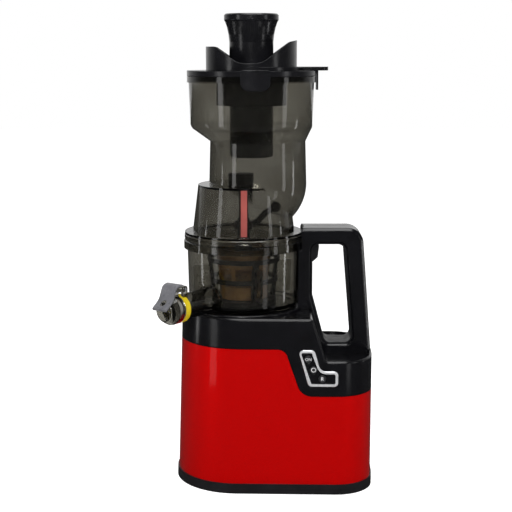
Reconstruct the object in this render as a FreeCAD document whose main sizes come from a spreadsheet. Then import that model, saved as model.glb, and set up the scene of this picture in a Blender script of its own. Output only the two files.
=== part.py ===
import FreeCAD, Part
import math
import os
import re
import Sketcher
from FreeCAD import Placement, Rotation, Vector

# Upright slow juicer, millimetres, +Z up, drawn about its drive axis from the
# level the feet stand on. The handle is towards +X and the controls face -Y.

doc = FreeCAD.newDocument("cold_press_juicer")
sheet = doc.addObject("Spreadsheet::Sheet", "Sizes")

SIZES = (
    # frame
    ("origin_right", 25.592, "origin from the drive axis, towards the handle"),
    ("origin_forward", 11.539, "origin from the drive axis, towards the buttons"),
    # base
    ("foot_height", 3.0, "rubber foot"),
    ("foot_radius", 9.0, "rubber foot"),
    ("foot_inset", 18.0, "foot centre from the side of the base"),
    ("base_left_radius", 68.9, "rounded left end of the base"),
    ("base_left_floor", 74.1, "left end from the drive axis at the floor"),
    ("base_lean", 1.75, "lean of the left end, degrees"),
    ("base_right", 142.0, "right end from the drive axis"),
    ("base_half_depth", 72.0, "half depth of the base at its right corners"),
    ("base_corner", 40.0, "right corner radius in plan"),
    ("base_end_bow", 400.0, "radius of the slightly bowed right end"),
    ("shell_wall", 2.6, "wall of the base shell and upper housing"),
    ("trim_height", 12.0, "top of the bottom trim"),
    ("trim_proud", 1.4, "trim stands proud of the shell"),
    ("plate_thickness", 3.0, "bottom plate"),
    ("shoulder_height", 162.0, "red and black parting line at the left"),
    ("shoulder_right", 110.5, "parting line at the right"),
    ("shoulder_start", 44.5, "parting line turns down"),
    ("shoulder_end", 62.5, "parting line levels out"),
    ("parting_gap", 0.3, "gap along the parting line"),
    ("deck_height", 195.0, "deck the bowl stands on"),
    ("deck_right", 74.0, "right end of the deck"),
    ("tray_height", 148.7, "rim of the tray at the handle's foot"),
    ("tray_left", 88.5, "left end of the tray level"),
    ("tray_depth", 4.0, "tray recess"),
    ("tray_rim", 3.4, "rim left round the tray"),
    ("deck_chamfer", 1.6, "edge of the deck"),
    # handle
    ("handle_width", 40.0, "handle thickness across"),
    ("handle_wall", 3.0, "wall of the handle shells"),
    ("handle_top", 285.0, "top of the handle arm"),
    ("handle_inner", 58.0, "column before the bowl recess"),
    ("handle_outer_top", 130.0, "outer edge of the grip at the top"),
    ("handle_outer_low", 141.0, "outer edge of the grip at the tray"),
    ("handle_corner", 17.0, "outer corner of the handle"),
    ("handle_edge", 3.0, "chamfer along the handle's outline"),
    ("hole_top", 267.0, "top of the finger gap"),
    ("hole_bottom", 157.0, "bottom of the finger gap"),
    ("hole_left", 75.6, "left side of the finger gap"),
    ("hole_knee", 16.0, "above the deck, where the gap's left side slants"),
    ("hole_left_low", 90.0, "left lower corner of the gap"),
    ("hole_right_top", 110.5, "right upper corner of the gap"),
    ("hole_right_low", 119.8, "right lower corner of the gap"),
    ("hole_corner", 8.0, "corner radius of the gap"),
    ("liner_wall", 1.6, "grip liner"),
    ("liner_inset", 3.0, "liner stops short of the handle's faces"),
    ("trigger_width", 22.0, "release trigger"),
    ("trigger_height", 20.0, "release trigger"),
    ("trigger_reach", 6.6, "trigger stands out into the gap"),
    ("trigger_travel", 3.0, "trigger pressed into the column"),
    # controls
    ("face_turn", 1.76, "turn of the front face, degrees"),
    ("panel_middle", 80.0, "where the panel's frame touches the front face"),
    ("panel_left", 58.6, "switch panel"),
    ("panel_left_low", 70.0, "switch panel at its lower edge"),
    ("panel_neck", 75.8, "right side of the panel's upright part"),
    ("panel_knee", 82.6, "where the panel turns to the right"),
    ("panel_right", 101.4, "switch panel"),
    ("panel_top", 161.8, "switch panel"),
    ("panel_step", 138.7, "top of the panel's right part"),
    ("panel_low", 121.9, "switch panel"),
    ("on_across", 69.4, "start button from the drive axis"),
    ("on_height", 151.9, "start button"),
    ("off_across", 75.0, "stop button from the drive axis"),
    ("off_height", 140.3, "stop button"),
    ("back_across", 84.4, "reverse button from the drive axis"),
    ("back_height", 130.6, "reverse button"),
    ("panel_proud", 1.6, "bezel stands out of the housing"),
    ("panel_depth", 3.2, "bezel depth"),
    ("bezel_width", 1.8, "chrome bezel"),
    ("button_radius", 4.1, "push button"),
    ("button_length", 7.0, "push button"),
    ("button_travel", 1.2, "push button"),
    ("board_thickness", 1.6, "circuit board"),
    ("gland_radius", 8.0, "cord gland in the back of the shell"),
    ("gland_bore", 3.6, "cord gland"),
    ("gland_across", 80.0, "cord gland from the drive axis"),
    ("gland_height", 36.0, "cord gland"),
    # drive
    ("motor_axis", 88.5, "motor shaft from the drive axis"),
    ("idler_axis", 52.5, "idler shaft from the drive axis"),
    ("motor_radius", 43.0, "motor stator"),
    ("motor_bottom", 18.0, "motor stator"),
    ("motor_height", 84.0, "motor stator"),
    ("rotor_radius", 26.0, "rotor core"),
    ("air_gap", 0.6, "between rotor and stator"),
    ("motor_shaft_radius", 5.0, "motor shaft"),
    ("motor_module", 1.0, "first gear pair"),
    ("drive_module", 1.25, "second gear pair"),
    ("gear_backlash", 0.45, "play between teeth"),
    ("gear_width", 10.0, "tooth width"),
    ("gearbox_bottom", 108.0, "underside of the gearbox case"),
    ("gearbox_wall", 3.0, "gearbox case"),
    ("gearbox_top", 141.0, "top of the gearbox cover"),
    ("drive_shaft_radius", 7.0, "drive shaft"),
    ("drive_shaft_top", 236.0, "top of the drive shaft"),
    ("running_fit", 0.05, "radial play of a shaft in its bearing"),
    ("board_lift", 34.0, "control board above the bottom plate"),
    ("control_left", 54.0, "left side of the control board from the drive axis"),
    ("control_length", 42.0, "control board"),
    ("control_width", 60.0, "control board"),
    ("post_radius", 3.0, "posts under the control board"),
    ("post_inset", 6.0, "posts from the control board's edges"),
    ("capacitor_radius", 15.0, "run capacitor"),
    ("capacitor_height", 60.5, "run capacitor"),
    ("capacitor_across", 16.0, "run capacitor from the drive axis, towards the handle"),
    ("capacitor_front", 38.0, "run capacitor from the drive axis, towards the buttons"),
    ("clip_wall", 2.0, "clip of the run capacitor"),
    ("clip_height", 8.0, "clip of the run capacitor"),
    ("clip_floor", 1.5, "clip of the run capacitor"),
    ("bearing_width", 8.0, "ball bearing"),
    ("bearing_outer", 13.0, "outer radius of the drive bearings"),
    # bowl
    ("bowl_bottom", 197.0, "underside of the bowl"),
    ("bowl_floor", 3.0, "bowl floor"),
    ("bowl_top", 276.0, "rim of the bowl"),
    ("bowl_radius_top", 62.3, "outside radius at the rim"),
    ("bowl_radius_bottom", 60.7, "outside radius at the bottom"),
    ("bowl_foot_radius", 56.0, "radius of the bowl's foot"),
    ("bowl_wall", 2.4, "bowl wall"),
    ("seat_fit", 0.05, "gap between stacked parts"),
    ("seat_ring_radius", 66.0, "raised ring on the deck"),
    ("seat_ring_height", 2.4, "raised ring on the deck"),
    ("hub_radius", 10.0, "tube round the drive shaft in the bowl"),
    ("hub_top", 206.0, "tube round the drive shaft in the bowl"),
    ("pivot_radius", 2.0, "pivot of the transfer gear on the bowl floor"),
    ("strainer_rest_outer", 24.0, "ring on the bowl floor that carries the strainer"),
    ("strainer_rest_inner", 16.2, "ring on the bowl floor that carries the strainer"),
    ("spout_angle", 234.0, "juice spout about the drive axis, degrees"),
    ("spout_height", 212.0, "axis of the juice spout"),
    ("spout_radius", 13.8, "juice spout"),
    ("spout_wall", 2.4, "juice spout"),
    ("spout_reach", 120.0, "end of the juice spout from the drive axis"),
    ("spout_collar", 2.2, "ring where the spout joins the bowl"),
    ("pulp_angle", 100.0, "pulp outlet about the drive axis, degrees"),
    ("pulp_reach", 98.0, "end of the pulp outlet"),
    ("pulp_width", 30.0, "pulp outlet"),
    ("pulp_height", 24.0, "pulp outlet"),
    ("plug_reach", 46.0, "drain plug from the drive axis"),
    ("plug_radius", 8.0, "hole of the drain plug"),
    ("plug_flange", 1.2, "flange of the drain plug"),
    ("spout_band", 6.5, "width of the yellow sealing ring"),
    ("band_thickness", 1.4, "yellow sealing ring"),
    ("cap_depth", 18.0, "spout cap"),
    ("cap_wall", 1.4, "spout cap"),
    ("cap_pin_radius", 1.6, "hinge pin of the spout cap"),
    ("cap_pin_rise", 21.0, "hinge pin above the axis of the spout"),
    ("cap_pin_inset", 8.0, "hinge pin back from the end of the spout"),
    ("lever_width", 18.0, "thumb lever of the spout cap"),
    ("cap_web", 10.6, "between the two ears that carry the cap"),
    # strainer, wipers and auger
    ("strainer_top", 262.0, "top of the strainer"),
    ("strainer_bottom", 206.0, "underside of the strainer"),
    ("strainer_radius_top", 31.0, "outside of the strainer at the top"),
    ("strainer_radius_low", 26.6, "outside of the strainer at the bottom"),
    ("strainer_wall", 1.8, "strainer frame"),
    ("mesh_low", 221.0, "lower edge of the mesh"),
    ("mesh_high", 241.0, "upper edge of the mesh"),
    ("mesh_wall", 0.5, "steel mesh"),
    ("wiper_top", 252.0, "top of the wiper frame"),
    ("wiper_posts", 4.0, "posts of the wiper frame"),
    ("ring_gear_bottom", 200.4, "underside of the wiper gear ring"),
    ("ring_gear_height", 5.0, "wiper gear ring"),
    ("wiper_module", 1.0, "wiper gears"),
    ("auger_core_low", 15.0, "auger core at the bottom"),
    ("auger_core_top", 10.0, "auger core at the top"),
    ("auger_reach_top", 27.5, "screw flight radius at the top"),
    ("auger_reach_low", 23.0, "screw flight radius at the bottom"),
    ("auger_bottom", 208.6, "underside of the auger's screw"),
    ("auger_top", 284.0, "top of the auger's screw"),
    ("auger_pin_radius", 5.0, "upper journal of the auger"),
    ("arm_reach", 41.0, "tip of the feeding arm"),
    ("arm_knob", 6.0, "knob at the tip of the feeding arm"),
    ("arm_height", 306.0, "height of the knob"),
    # lid with chute
    ("collar_radius", 65.7, "lid collar"),
    ("collar_bottom", 262.0, "lid collar"),
    ("collar_top", 280.0, "lid collar"),
    ("collar_step", 1.1, "depth of the steps round the collar"),
    ("lid_wall", 2.6, "wall of the lid and chute"),
    ("chamber_radius_low", 56.0, "feeding chamber at the collar"),
    ("chamber_radius_top", 49.6, "feeding chamber at its deck"),
    ("chamber_top", 331.5, "deck of the feeding chamber"),
    ("chute_offset_x", 15.7, "chute axis from the drive axis, along X"),
    ("chute_offset_y", 9.0, "chute axis from the drive axis, along Y"),
    ("chute_radius_low", 53.6, "chute at its round bottom"),
    ("chute_radius_top", 52.3, "chute at the hopper"),
    ("chute_top", 378.0, "joint between chute and hopper"),
    ("boss_radius", 11.0, "upper bearing of the auger"),
    ("boss_height", 11.5, "upper bearing of the auger"),
    ("strip_width", 6.6, "red alignment strip"),
    ("strip_proud", 0.9, "red alignment strip"),
    # hopper and its cover
    ("hopper_offset_x", 8.7, "hopper axis from the drive axis, along X"),
    ("hopper_offset_y", 6.0, "hopper axis from the drive axis, along Y"),
    ("hopper_radius", 68.2, "hopper wall"),
    ("hopper_radius_low", 66.4, "hopper wall at its lower corner"),
    ("hopper_corner", 393.5, "lower corner of the hopper wall"),
    ("hopper_wall", 2.4, "hopper wall"),
    ("rim_bottom", 441.7, "hopper rim"),
    ("rim_top", 448.2, "hopper rim"),
    ("rim_radius", 70.0, "hopper rim"),
    ("cover_top", 454.3, "top of the cover"),
    ("cover_plate", 2.6, "cover plate"),
    ("funnel_radius", 49.3, "funnel above the cover"),
    ("funnel_wall", 2.4, "funnel"),
    ("funnel_left", 479.7, "left wing of the funnel"),
    ("funnel_low", 462.2, "lowest point of the funnel's edge"),
    ("funnel_right", 486.6, "right wing of the funnel"),
    ("sleeve_radius", 38.0, "feed tube under the cover"),
    ("sleeve_bottom", 417.0, "lower end of the feed tube"),
    ("sleeve_wall", 2.2, "feed tube"),
    ("tab_reach", 92.0, "end of the lift tab from the drive axis"),
    ("tab_width", 17.0, "lift tab"),
    ("tab_thickness", 4.0, "lift tab"),
    ("latch_width", 31.0, "front latch of the cover"),
    ("latch_bottom", 434.0, "lower edge of the front latch"),
    ("hinge_pin_radius", 2.0, "cover hinge pin"),
    ("hinge_pin_length", 34.0, "cover hinge pin"),
    # pusher
    ("pusher_radius", 23.8, "pusher"),
    ("pusher_rim", 29.5, "flared rim of the pusher"),
    ("pusher_top", 514.5, "top of the pusher"),
    ("pusher_lip", 6.6, "lip of the pusher"),
    ("pusher_bottom", 361.0, "lower end of the pusher"),
    ("pusher_wall", 2.6, "pusher"),
)

# Tooth counts and counts of like pieces
MOTOR_TEETH = 12
IDLER_TEETH = 60
IDLER_PINION_TEETH = 14
DRIVE_TEETH = 70
AUGER_TEETH = 28
TRANSFER_TEETH = 12
RING_TEETH = AUGER_TEETH + 2 * TRANSFER_TEETH
MESH_SLOTS = 48

# Longer than the juicer, for tools that cut right through
FAR = 600.0

for row, (alias, value, meaning) in enumerate(SIZES, start=1):
    sheet.set("A%d" % row, meaning)
    sheet.set("B%d" % row, str(value))
    sheet.setAlias("B%d" % row, alias)
doc.recompute()

WORD = re.compile(r"[a-z]+(?:_[a-z]+)+")
pieces = []


def bound(expression):
    """The expression with every size read from the sheet."""
    return WORD.sub(lambda word: "Sizes." + word.group(), str(expression))


def number(expression):
    return float(sheet.evalExpression(bound(expression)))


def bind(thing, prop, expression):
    thing.setExpression(prop, bound(expression))


def place(thing, at):
    for letter, expression in zip("xyz", at):
        bind(thing, "Placement.Base." + letter, expression)


def piece(thing, label):
    """Names an object as one of the juicer's pieces."""
    thing.Label = label
    pieces.append(thing)
    return thing


def formed(name, shape):
    """A feature whose shape is made with Part's own functions."""
    feature = doc.addObject("Part::Feature", name)
    feature.Shape = shape
    return feature


def cylinder(name, radius, height, at=(0, 0, 0), turn=None):
    rod = doc.addObject("Part::Cylinder", name)
    bind(rod, "Radius", radius)
    bind(rod, "Height", height)
    if turn:
        rod.Placement = Placement(Vector(), turn)
    place(rod, at)
    return rod


def cone(name, low, high, height, at=(0, 0, 0)):
    taper = doc.addObject("Part::Cone", name)
    bind(taper, "Radius1", low)
    bind(taper, "Radius2", high)
    bind(taper, "Height", height)
    place(taper, at)
    return taper


def box(name, length, width, height, at=(0, 0, 0), turn=None):
    block = doc.addObject("Part::Box", name)
    bind(block, "Length", length)
    bind(block, "Width", width)
    bind(block, "Height", height)
    if turn:
        block.Placement = Placement(Vector(), turn)
    place(block, at)
    return block


def cut(name, base, tool):
    result = doc.addObject("Part::Cut", name)
    result.Base = base
    result.Tool = tool
    return result


def fuse(name, *shapes):
    result = doc.addObject("Part::MultiFuse", name)
    result.Shapes = list(shapes)
    result.Refine = True
    return result


def origin_plane(body, role):
    for feature in body.Origin.OriginFeatures:
        if feature.Role == role:
            return feature


def outline(body, role, points):
    """A closed sketch on an origin plane with each corner bound to the sizes."""
    sketch = body.newObject("Sketcher::SketchObject", body.Name + "_outline")
    sketch.AttachmentSupport = (origin_plane(body, role), [""])
    sketch.MapMode = "FlatFace"
    spots = [Vector(number(u), number(v), 0) for u, v in points]
    for index, spot in enumerate(spots):
        follow = spots[(index + 1) % len(spots)]
        sketch.addGeometry(Part.LineSegment(spot, follow), False)
    count = len(spots)
    for index in range(count):
        sketch.addConstraint(Sketcher.Constraint("Coincident", index, 2, (index + 1) % count, 1))
    for index, (u, v) in enumerate(points):
        for kind, axis, expression in (("DistanceX", -2, u), ("DistanceY", -1, v)):
            value = number(expression)
            if abs(value) < 1e-9:
                sketch.addConstraint(Sketcher.Constraint("PointOnObject", index, 1, axis))
                continue
            held = sketch.addConstraint(Sketcher.Constraint(kind, index, 1, value))
            bind(sketch, "Constraints[%d]" % held, expression)
    return sketch


def turned(label, points, at=(0, 0, 0)):
    """A body turned about its Z axis from corners given as radius and height."""
    body = doc.addObject("PartDesign::Body", label)
    sketch = outline(body, "XZ_Plane", points)
    lathe = body.newObject("PartDesign::Revolution", label + "_turn")
    lathe.Profile = sketch
    lathe.ReferenceAxis = (sketch, ["V_Axis"])
    lathe.Angle = 360
    sketch.Visibility = False
    place(body, at)
    return body


# Outlines made of straight runs and tangent arcs
def rounded_wire(corners, plane="XZ"):
    """A closed wire through corners given as (u, v, radius)."""
    spots = [Vector(u, v, 0) for u, v, radius in corners]
    edges = []
    starts = []
    ends = []
    middles = []
    for index, (u, v, radius) in enumerate(corners):
        here = spots[index]
        back = (spots[index - 1] - here).normalize()
        ahead = (spots[(index + 1) % len(spots)] - here).normalize()
        if radius <= 0:
            starts.append(here)
            ends.append(here)
            middles.append(None)
            continue
        half = back.getAngle(ahead) / 2
        reach = radius / math.tan(half)
        inward = (back + ahead).normalize()
        centre = here + inward * (radius / math.sin(half))
        starts.append(here + back * reach)
        ends.append(here + ahead * reach)
        middles.append(centre - inward * radius)
    for index in range(len(corners)):
        if middles[index]:
            edges.append(Part.Arc(starts[index], middles[index], ends[index]).toShape())
        follow = starts[(index + 1) % len(corners)]
        if (follow - ends[index]).Length > 1e-6:
            edges.append(Part.makeLine(ends[index], follow))
    wire = Part.Wire(edges)
    if plane == "XZ":
        wire.rotate(Vector(), Vector(1, 0, 0), 90)
    return wire


def slab(wire, low, high):
    """A solid swept from an XZ wire between two Y levels."""
    face = Part.Face(wire)
    face.translate(Vector(0, low, 0))
    return face.extrude(Vector(0, high - low, 0))


def left_centre(height):
    """X of the centre of the rounded left end, which leans outward downwards."""
    lean = math.tan(math.radians(number("base_lean")))
    return number("base_left_radius - base_left_floor") + height * lean


def plan_wire(height, inset):
    """The base in plan at a height, moved inwards by inset."""
    left = number("base_left_radius")
    corner = number("base_corner")
    bow = number("base_end_bow")
    across = number("base_half_depth") - corner
    bow_run = math.sqrt((bow - corner) ** 2 - across ** 2)
    corner_x = number("base_right") - bow + bow_run
    bow_x = corner_x - bow_run
    left_x = left_centre(height)
    run = Vector(corner_x - left_x, across, 0)
    lean = math.atan2(run.y, run.x) + math.acos((left - corner) / run.Length)
    bow_angle = math.atan2(across, bow_run)

    def spot(x, y, radius, angle):
        reach = radius - inset
        return Vector(x + reach * math.cos(angle), y + reach * math.sin(angle), height)

    upper_left = spot(left_x, 0, left, lean)
    upper_right = spot(corner_x, across, corner, lean)
    upper_corner = spot(corner_x, across, corner, (lean + bow_angle) / 2)
    end_top = spot(corner_x, across, corner, bow_angle)
    end_middle = spot(bow_x, 0, bow, 0)
    left_middle = spot(left_x, 0, left, math.pi)

    def mirrored(point):
        return Vector(point.x, -point.y, point.z)

    edges = [
        Part.Arc(mirrored(upper_left), left_middle, upper_left),
        Part.LineSegment(upper_left, upper_right),
        Part.Arc(upper_right, upper_corner, end_top),
        Part.Arc(end_top, end_middle, mirrored(end_top)),
        Part.Arc(mirrored(end_top), mirrored(upper_corner), mirrored(upper_right)),
        Part.LineSegment(mirrored(upper_right), mirrored(upper_left)),
    ]
    return Part.Wire([edge.toShape() for edge in edges])


def base_block(low, high, inset=0.0):
    """The base's outer form between two heights, moved inwards by inset."""
    return Part.makeLoft([plan_wire(low, inset), plan_wire(high, inset)], True, True)


def parting_corners(lift):
    """The parting line between the red shell and the black housing."""
    return [
        (-200.0, number("shoulder_height") + lift, 0),
        (number("shoulder_start") + lift, number("shoulder_height") + lift, 10.6),
        (number("shoulder_end") + lift, number("shoulder_right") + lift, 16.0),
        (300.0, number("shoulder_right") + lift, 0),
    ]


# Base: red shell, black upper housing, trim, plate, feet and screws
def make_base():
    wall = number("shell_wall")
    trim_top = number("trim_height")
    plate_low = number("foot_height")
    deck = number("deck_height")
    deep = number("base_half_depth") + 20
    lip = 2.0

    below = parting_corners(-number("parting_gap") / 2) + [(300.0, 0, 0), (-200.0, 0, 0)]
    shell = base_block(trim_top - lip, deck).cut(base_block(trim_top - lip, deck, wall))
    shell = shell.common(slab(rounded_wire(below), -deep, deep))
    inlet = Part.makeCylinder(number("gland_radius"), 30, gland_point(), Vector(0, 1, 0))
    piece(formed("base_shell", shell.cut(inlet)), "base_shell")

    above = parting_corners(number("parting_gap") / 2)
    tray = number("tray_height")
    above += [
        (300.0, tray, 0),
        (number("tray_left"), tray, 3.0),
        (number("deck_right"), deck, 4.0),
        (-200.0, deck, 0),
    ]
    housing = base_block(trim_top, deck + 1).common(slab(rounded_wire(above), -deep, deep))
    rim_edges = []
    for edge in housing.Edges:
        box_of = edge.BoundBox
        flat = box_of.ZLength < 0.01 and (abs(box_of.ZMin - deck) < 0.01 or abs(box_of.ZMin - tray) < 0.01)
        straight_across = box_of.XLength < 0.01 and abs(box_of.YMin + box_of.YMax) < 0.01
        if flat and not (straight_across and box_of.XMin < 120):
            rim_edges.append(edge)
    housing = housing.makeChamfer(number("deck_chamfer"), rim_edges)
    floor = tray - number("tray_depth")
    inner_corners = [
        (-200.0, 60.0, 0),
        (300.0, 60.0, 0),
        (300.0, floor - wall, 0),
        (number("tray_left") - 3.5, floor - wall, 0),
        (number("deck_right") - 3.5, deck - wall, 0),
        (-200.0, deck - wall, 0),
    ]
    hollow = base_block(50, deck + 1, wall).common(slab(rounded_wire(inner_corners), -deep, deep))
    recess = base_block(50, deck + 1, number("tray_rim"))
    tray_start = number("tray_left") + 2.0
    recess = recess.common(Part.makeBox(200, 2 * deep, 60, Vector(tray_start, -deep, floor)))
    housing = housing.cut(hollow).cut(recess)
    shaft_hole = Part.makeCylinder(number("bearing_outer") + 3, 40, Vector(0, 0, deck - 20))
    housing = housing.cut(shaft_hole)
    housing = housing.cut(switch_pocket(number("bezel_width"), -20, 20)).cut(switch_pocket(0, -3, 0.02))
    piece(formed("upper_housing", housing), "upper_housing")

    proud = number("trim_proud")
    trim = base_block(number("foot_height") / 3, trim_top, -proud)
    trim = trim.cut(base_block(0, trim_top + 1, wall + 2.0))
    ledge = base_block(trim_top - lip, trim_top + 1, -number("seat_fit"))
    trim = trim.cut(ledge.cut(base_block(trim_top - lip, trim_top + 1, wall + number("seat_fit"))))
    piece(formed("base_trim", trim), "base_trim")

    plate = base_block(plate_low, plate_low + number("plate_thickness"), wall + 2.0 + number("seat_fit"))
    for x, y in foot_centres():
        plate = plate.cut(Part.makeCylinder(2.0, 20, Vector(x, y, 0)))
    piece(formed("bottom_plate", plate), "bottom_plate")

    feet = []
    screws = []
    for x, y in foot_centres():
        foot = Part.makeCone(number("foot_radius") - 1, number("foot_radius"), plate_low, Vector(x, y, 0))
        foot = foot.cut(Part.makeCylinder(4.2, 1.0, Vector(x, y, 0)))
        foot = foot.cut(Part.makeCylinder(2.0, 20, Vector(x, y, -1)))
        feet.append(foot)
        screw = Part.makeCylinder(1.9, plate_low + 8, Vector(x, y, 0.2))
        screw = screw.fuse(Part.makeCylinder(4.0, 0.8, Vector(x, y, 0.2)))
        screws.append(screw)
    piece(formed("feet", Part.makeCompound(feet)), "feet")
    piece(formed("foot_screws", Part.makeCompound(screws)), "foot_screws")
    return housing


def foot_centres():
    inset = number("foot_inset")
    left = -number("base_left_floor") + inset + 22
    right = number("base_right") - inset - 10
    across = number("base_half_depth") - inset - 10
    return [(left, -across), (left, across), (right, -across), (right, across)]


def front_face_y(x, height):
    """Y of the flat front face at a place along it."""
    left = number("base_left_radius")
    corner = number("base_corner")
    across = number("base_half_depth") - corner
    bow = number("base_end_bow")
    corner_x = number("base_right") - bow + math.sqrt((bow - corner) ** 2 - across ** 2)
    run = Vector(corner_x - left_centre(height), across, 0)
    lean = math.atan2(run.y, run.x) + math.acos((left - corner) / run.Length)
    return -(left - (x - left_centre(height)) * math.cos(lean)) / math.sin(lean)


def gland_point():
    return Vector(number("gland_across"), number("base_half_depth - 20"), number("gland_height"))


# Controls on the front face, drawn in a frame that lies on it
def panel_frame():
    middle = number("panel_middle")
    height = number("(panel_top + panel_low) / 2")
    turn = Rotation(Vector(0, 0, 1), -number("face_turn"))
    return Placement(Vector(middle, front_face_y(middle, height), 0), turn)


def panel_wire(inset):
    middle = number("panel_middle")
    left = number("panel_left") - middle + inset
    left_low = number("panel_left_low") - middle + inset
    neck = number("panel_neck") - middle - inset
    knee = number("panel_knee") - middle - inset * 0.4
    right = number("panel_right") - middle - inset
    top = number("panel_top") - inset
    step = number("panel_step") - inset
    low = number("panel_low") + inset
    round_out = max(4.5 - inset, 1.0)
    corners = [
        (left, top, round_out),
        (neck, top, round_out),
        (knee, step, 8.0 + inset),
        (right, step, round_out),
        (right, low, round_out),
        (left_low, low, round_out),
    ]
    return rounded_wire(corners)


def on_panel(shape):
    shape.Placement = panel_frame().multiply(shape.Placement)
    return shape


def switch_pocket(inset, low, high):
    """The hole through the housing behind the bezel."""
    return on_panel(slab(panel_wire(inset), low, high))


BUTTONS = (("button_on", "on"), ("button_off", "off"), ("button_reverse", "back"))


def button_rod(name, radius, low, high):
    x = number(name + "_across") - number("panel_middle")
    return Part.makeCylinder(radius, high - low, Vector(x, low, number(name + "_height")), Vector(0, 1, 0))


def make_controls():
    proud = number("panel_proud")
    depth = number("panel_depth")
    width = number("bezel_width")
    fit = number("seat_fit")
    bezel = slab(panel_wire(0), -proud, 0)
    bezel = bezel.makeChamfer(0.6, [edge for edge in bezel.Edges if edge.BoundBox.YMax < -proud + 0.01])
    bezel = bezel.fuse(slab(panel_wire(width + fit), -proud / 2, depth))
    bezel = bezel.cut(slab(panel_wire(width + 1.0), -9, 9))
    piece(formed("switch_bezel", on_panel(bezel)), "switch_bezel")

    length = number("button_length")
    front = -proud - 0.6
    board_front = front + length + number("button_travel") + 0.3
    panel = slab(panel_wire(width + 1.0 + fit), 0.5 - proud, depth)
    for x, z in ((66.0, 157.5), (75.5, 126.5), (95.5, 131.0)):
        post = Part.makeCylinder(1.3, board_front - depth + 0.5,
                                 Vector(x - number("panel_middle"), depth - 0.5, z), Vector(0, 1, 0))
        panel = panel.fuse(post)
    for label, name in BUTTONS:
        panel = panel.cut(button_rod(name, number("button_radius") + 0.2, -9, 9))
    piece(formed("switch_panel", on_panel(panel)), "switch_panel")

    for label, name in BUTTONS:
        button = button_rod(name, number("button_radius"), front, front + length)
        front_rim = [edge for edge in button.Edges if edge.BoundBox.YMax < front + 0.01]
        button = button.makeFillet(0.6, front_rim)
        piece(formed(label, on_panel(button)), label)
    board = slab(panel_wire(width + 2.0), board_front, board_front + number("board_thickness"))
    pins = [board]
    for label, name in BUTTONS:
        pins.append(button_rod(name, 1.0, board_front + 0.5, board_front + 5.0))
    piece(formed("switch_board", on_panel(pins[0].fuse(pins[1:]))), "switch_board")


# Handle: two shells, a liner round the finger gap and the release trigger
def gap_wire(grow):
    corner = number("hole_corner") + grow
    corners = [
        (number("hole_left") - grow, number("hole_top") + grow, corner),
        (number("hole_right_top") + grow, number("hole_top") + grow, corner),
        (number("hole_right_low") + grow, number("hole_bottom") - grow, corner),
        (number("hole_left_low") - grow, number("hole_bottom") - grow, corner),
        (number("hole_left") - grow, number("deck_height + hole_knee"), 12.0),
    ]
    return rounded_wire(corners)


def gap_bevel(grow, side, half, depth):
    """The bevel round the finger gap at one face of the handle."""
    inner = gap_wire(grow)
    outer = gap_wire(grow + depth)
    inner.translate(Vector(0, side * (half - depth), 0))
    outer.translate(Vector(0, side * half, 0))
    return Part.makeLoft([inner, outer], True, True)


def handle_wire(inset):
    foot = number("tray_height - tray_depth") + inset
    corners = [
        (number("handle_inner") + inset, foot, 0),
        (number("handle_inner") + inset, number("handle_top") - inset, 0),
        (number("handle_outer_top") - inset, number("handle_top") - inset, number("handle_corner") - inset),
        (number("handle_outer_low") - inset, foot, 0),
    ]
    return rounded_wire(corners)


def bowl_clearance(extra):
    """The round space for the bowl, and the wider one for the lid collar above."""
    low = number("collar_bottom") - 1.0
    bowl_space = Part.makeCylinder(number("bowl_radius_top") + extra, 200, Vector(0, 0, 100))
    collar_space = Part.makeCylinder(number("collar_radius") + extra, 200, Vector(0, 0, low))
    return bowl_space.fuse(collar_space)


def trigger_wire(grow):
    left = number("hole_left")
    back = number("collar_radius + trigger_travel") + 0.7
    top = number("hole_top")
    low = top - number("trigger_height")
    reach = number("trigger_reach")
    corners = [
        (back - grow, low - grow, 0),
        (left + 1.0, low - grow, 1.5),
        (left + reach - 0.6 + grow, low + 4.5, 2.0),
        (left + reach + 1.0 + grow, top - 1.8 + grow, 1.2),
        (back - grow, top - 1.8 + grow, 0),
    ]
    return rounded_wire(corners)


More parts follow.
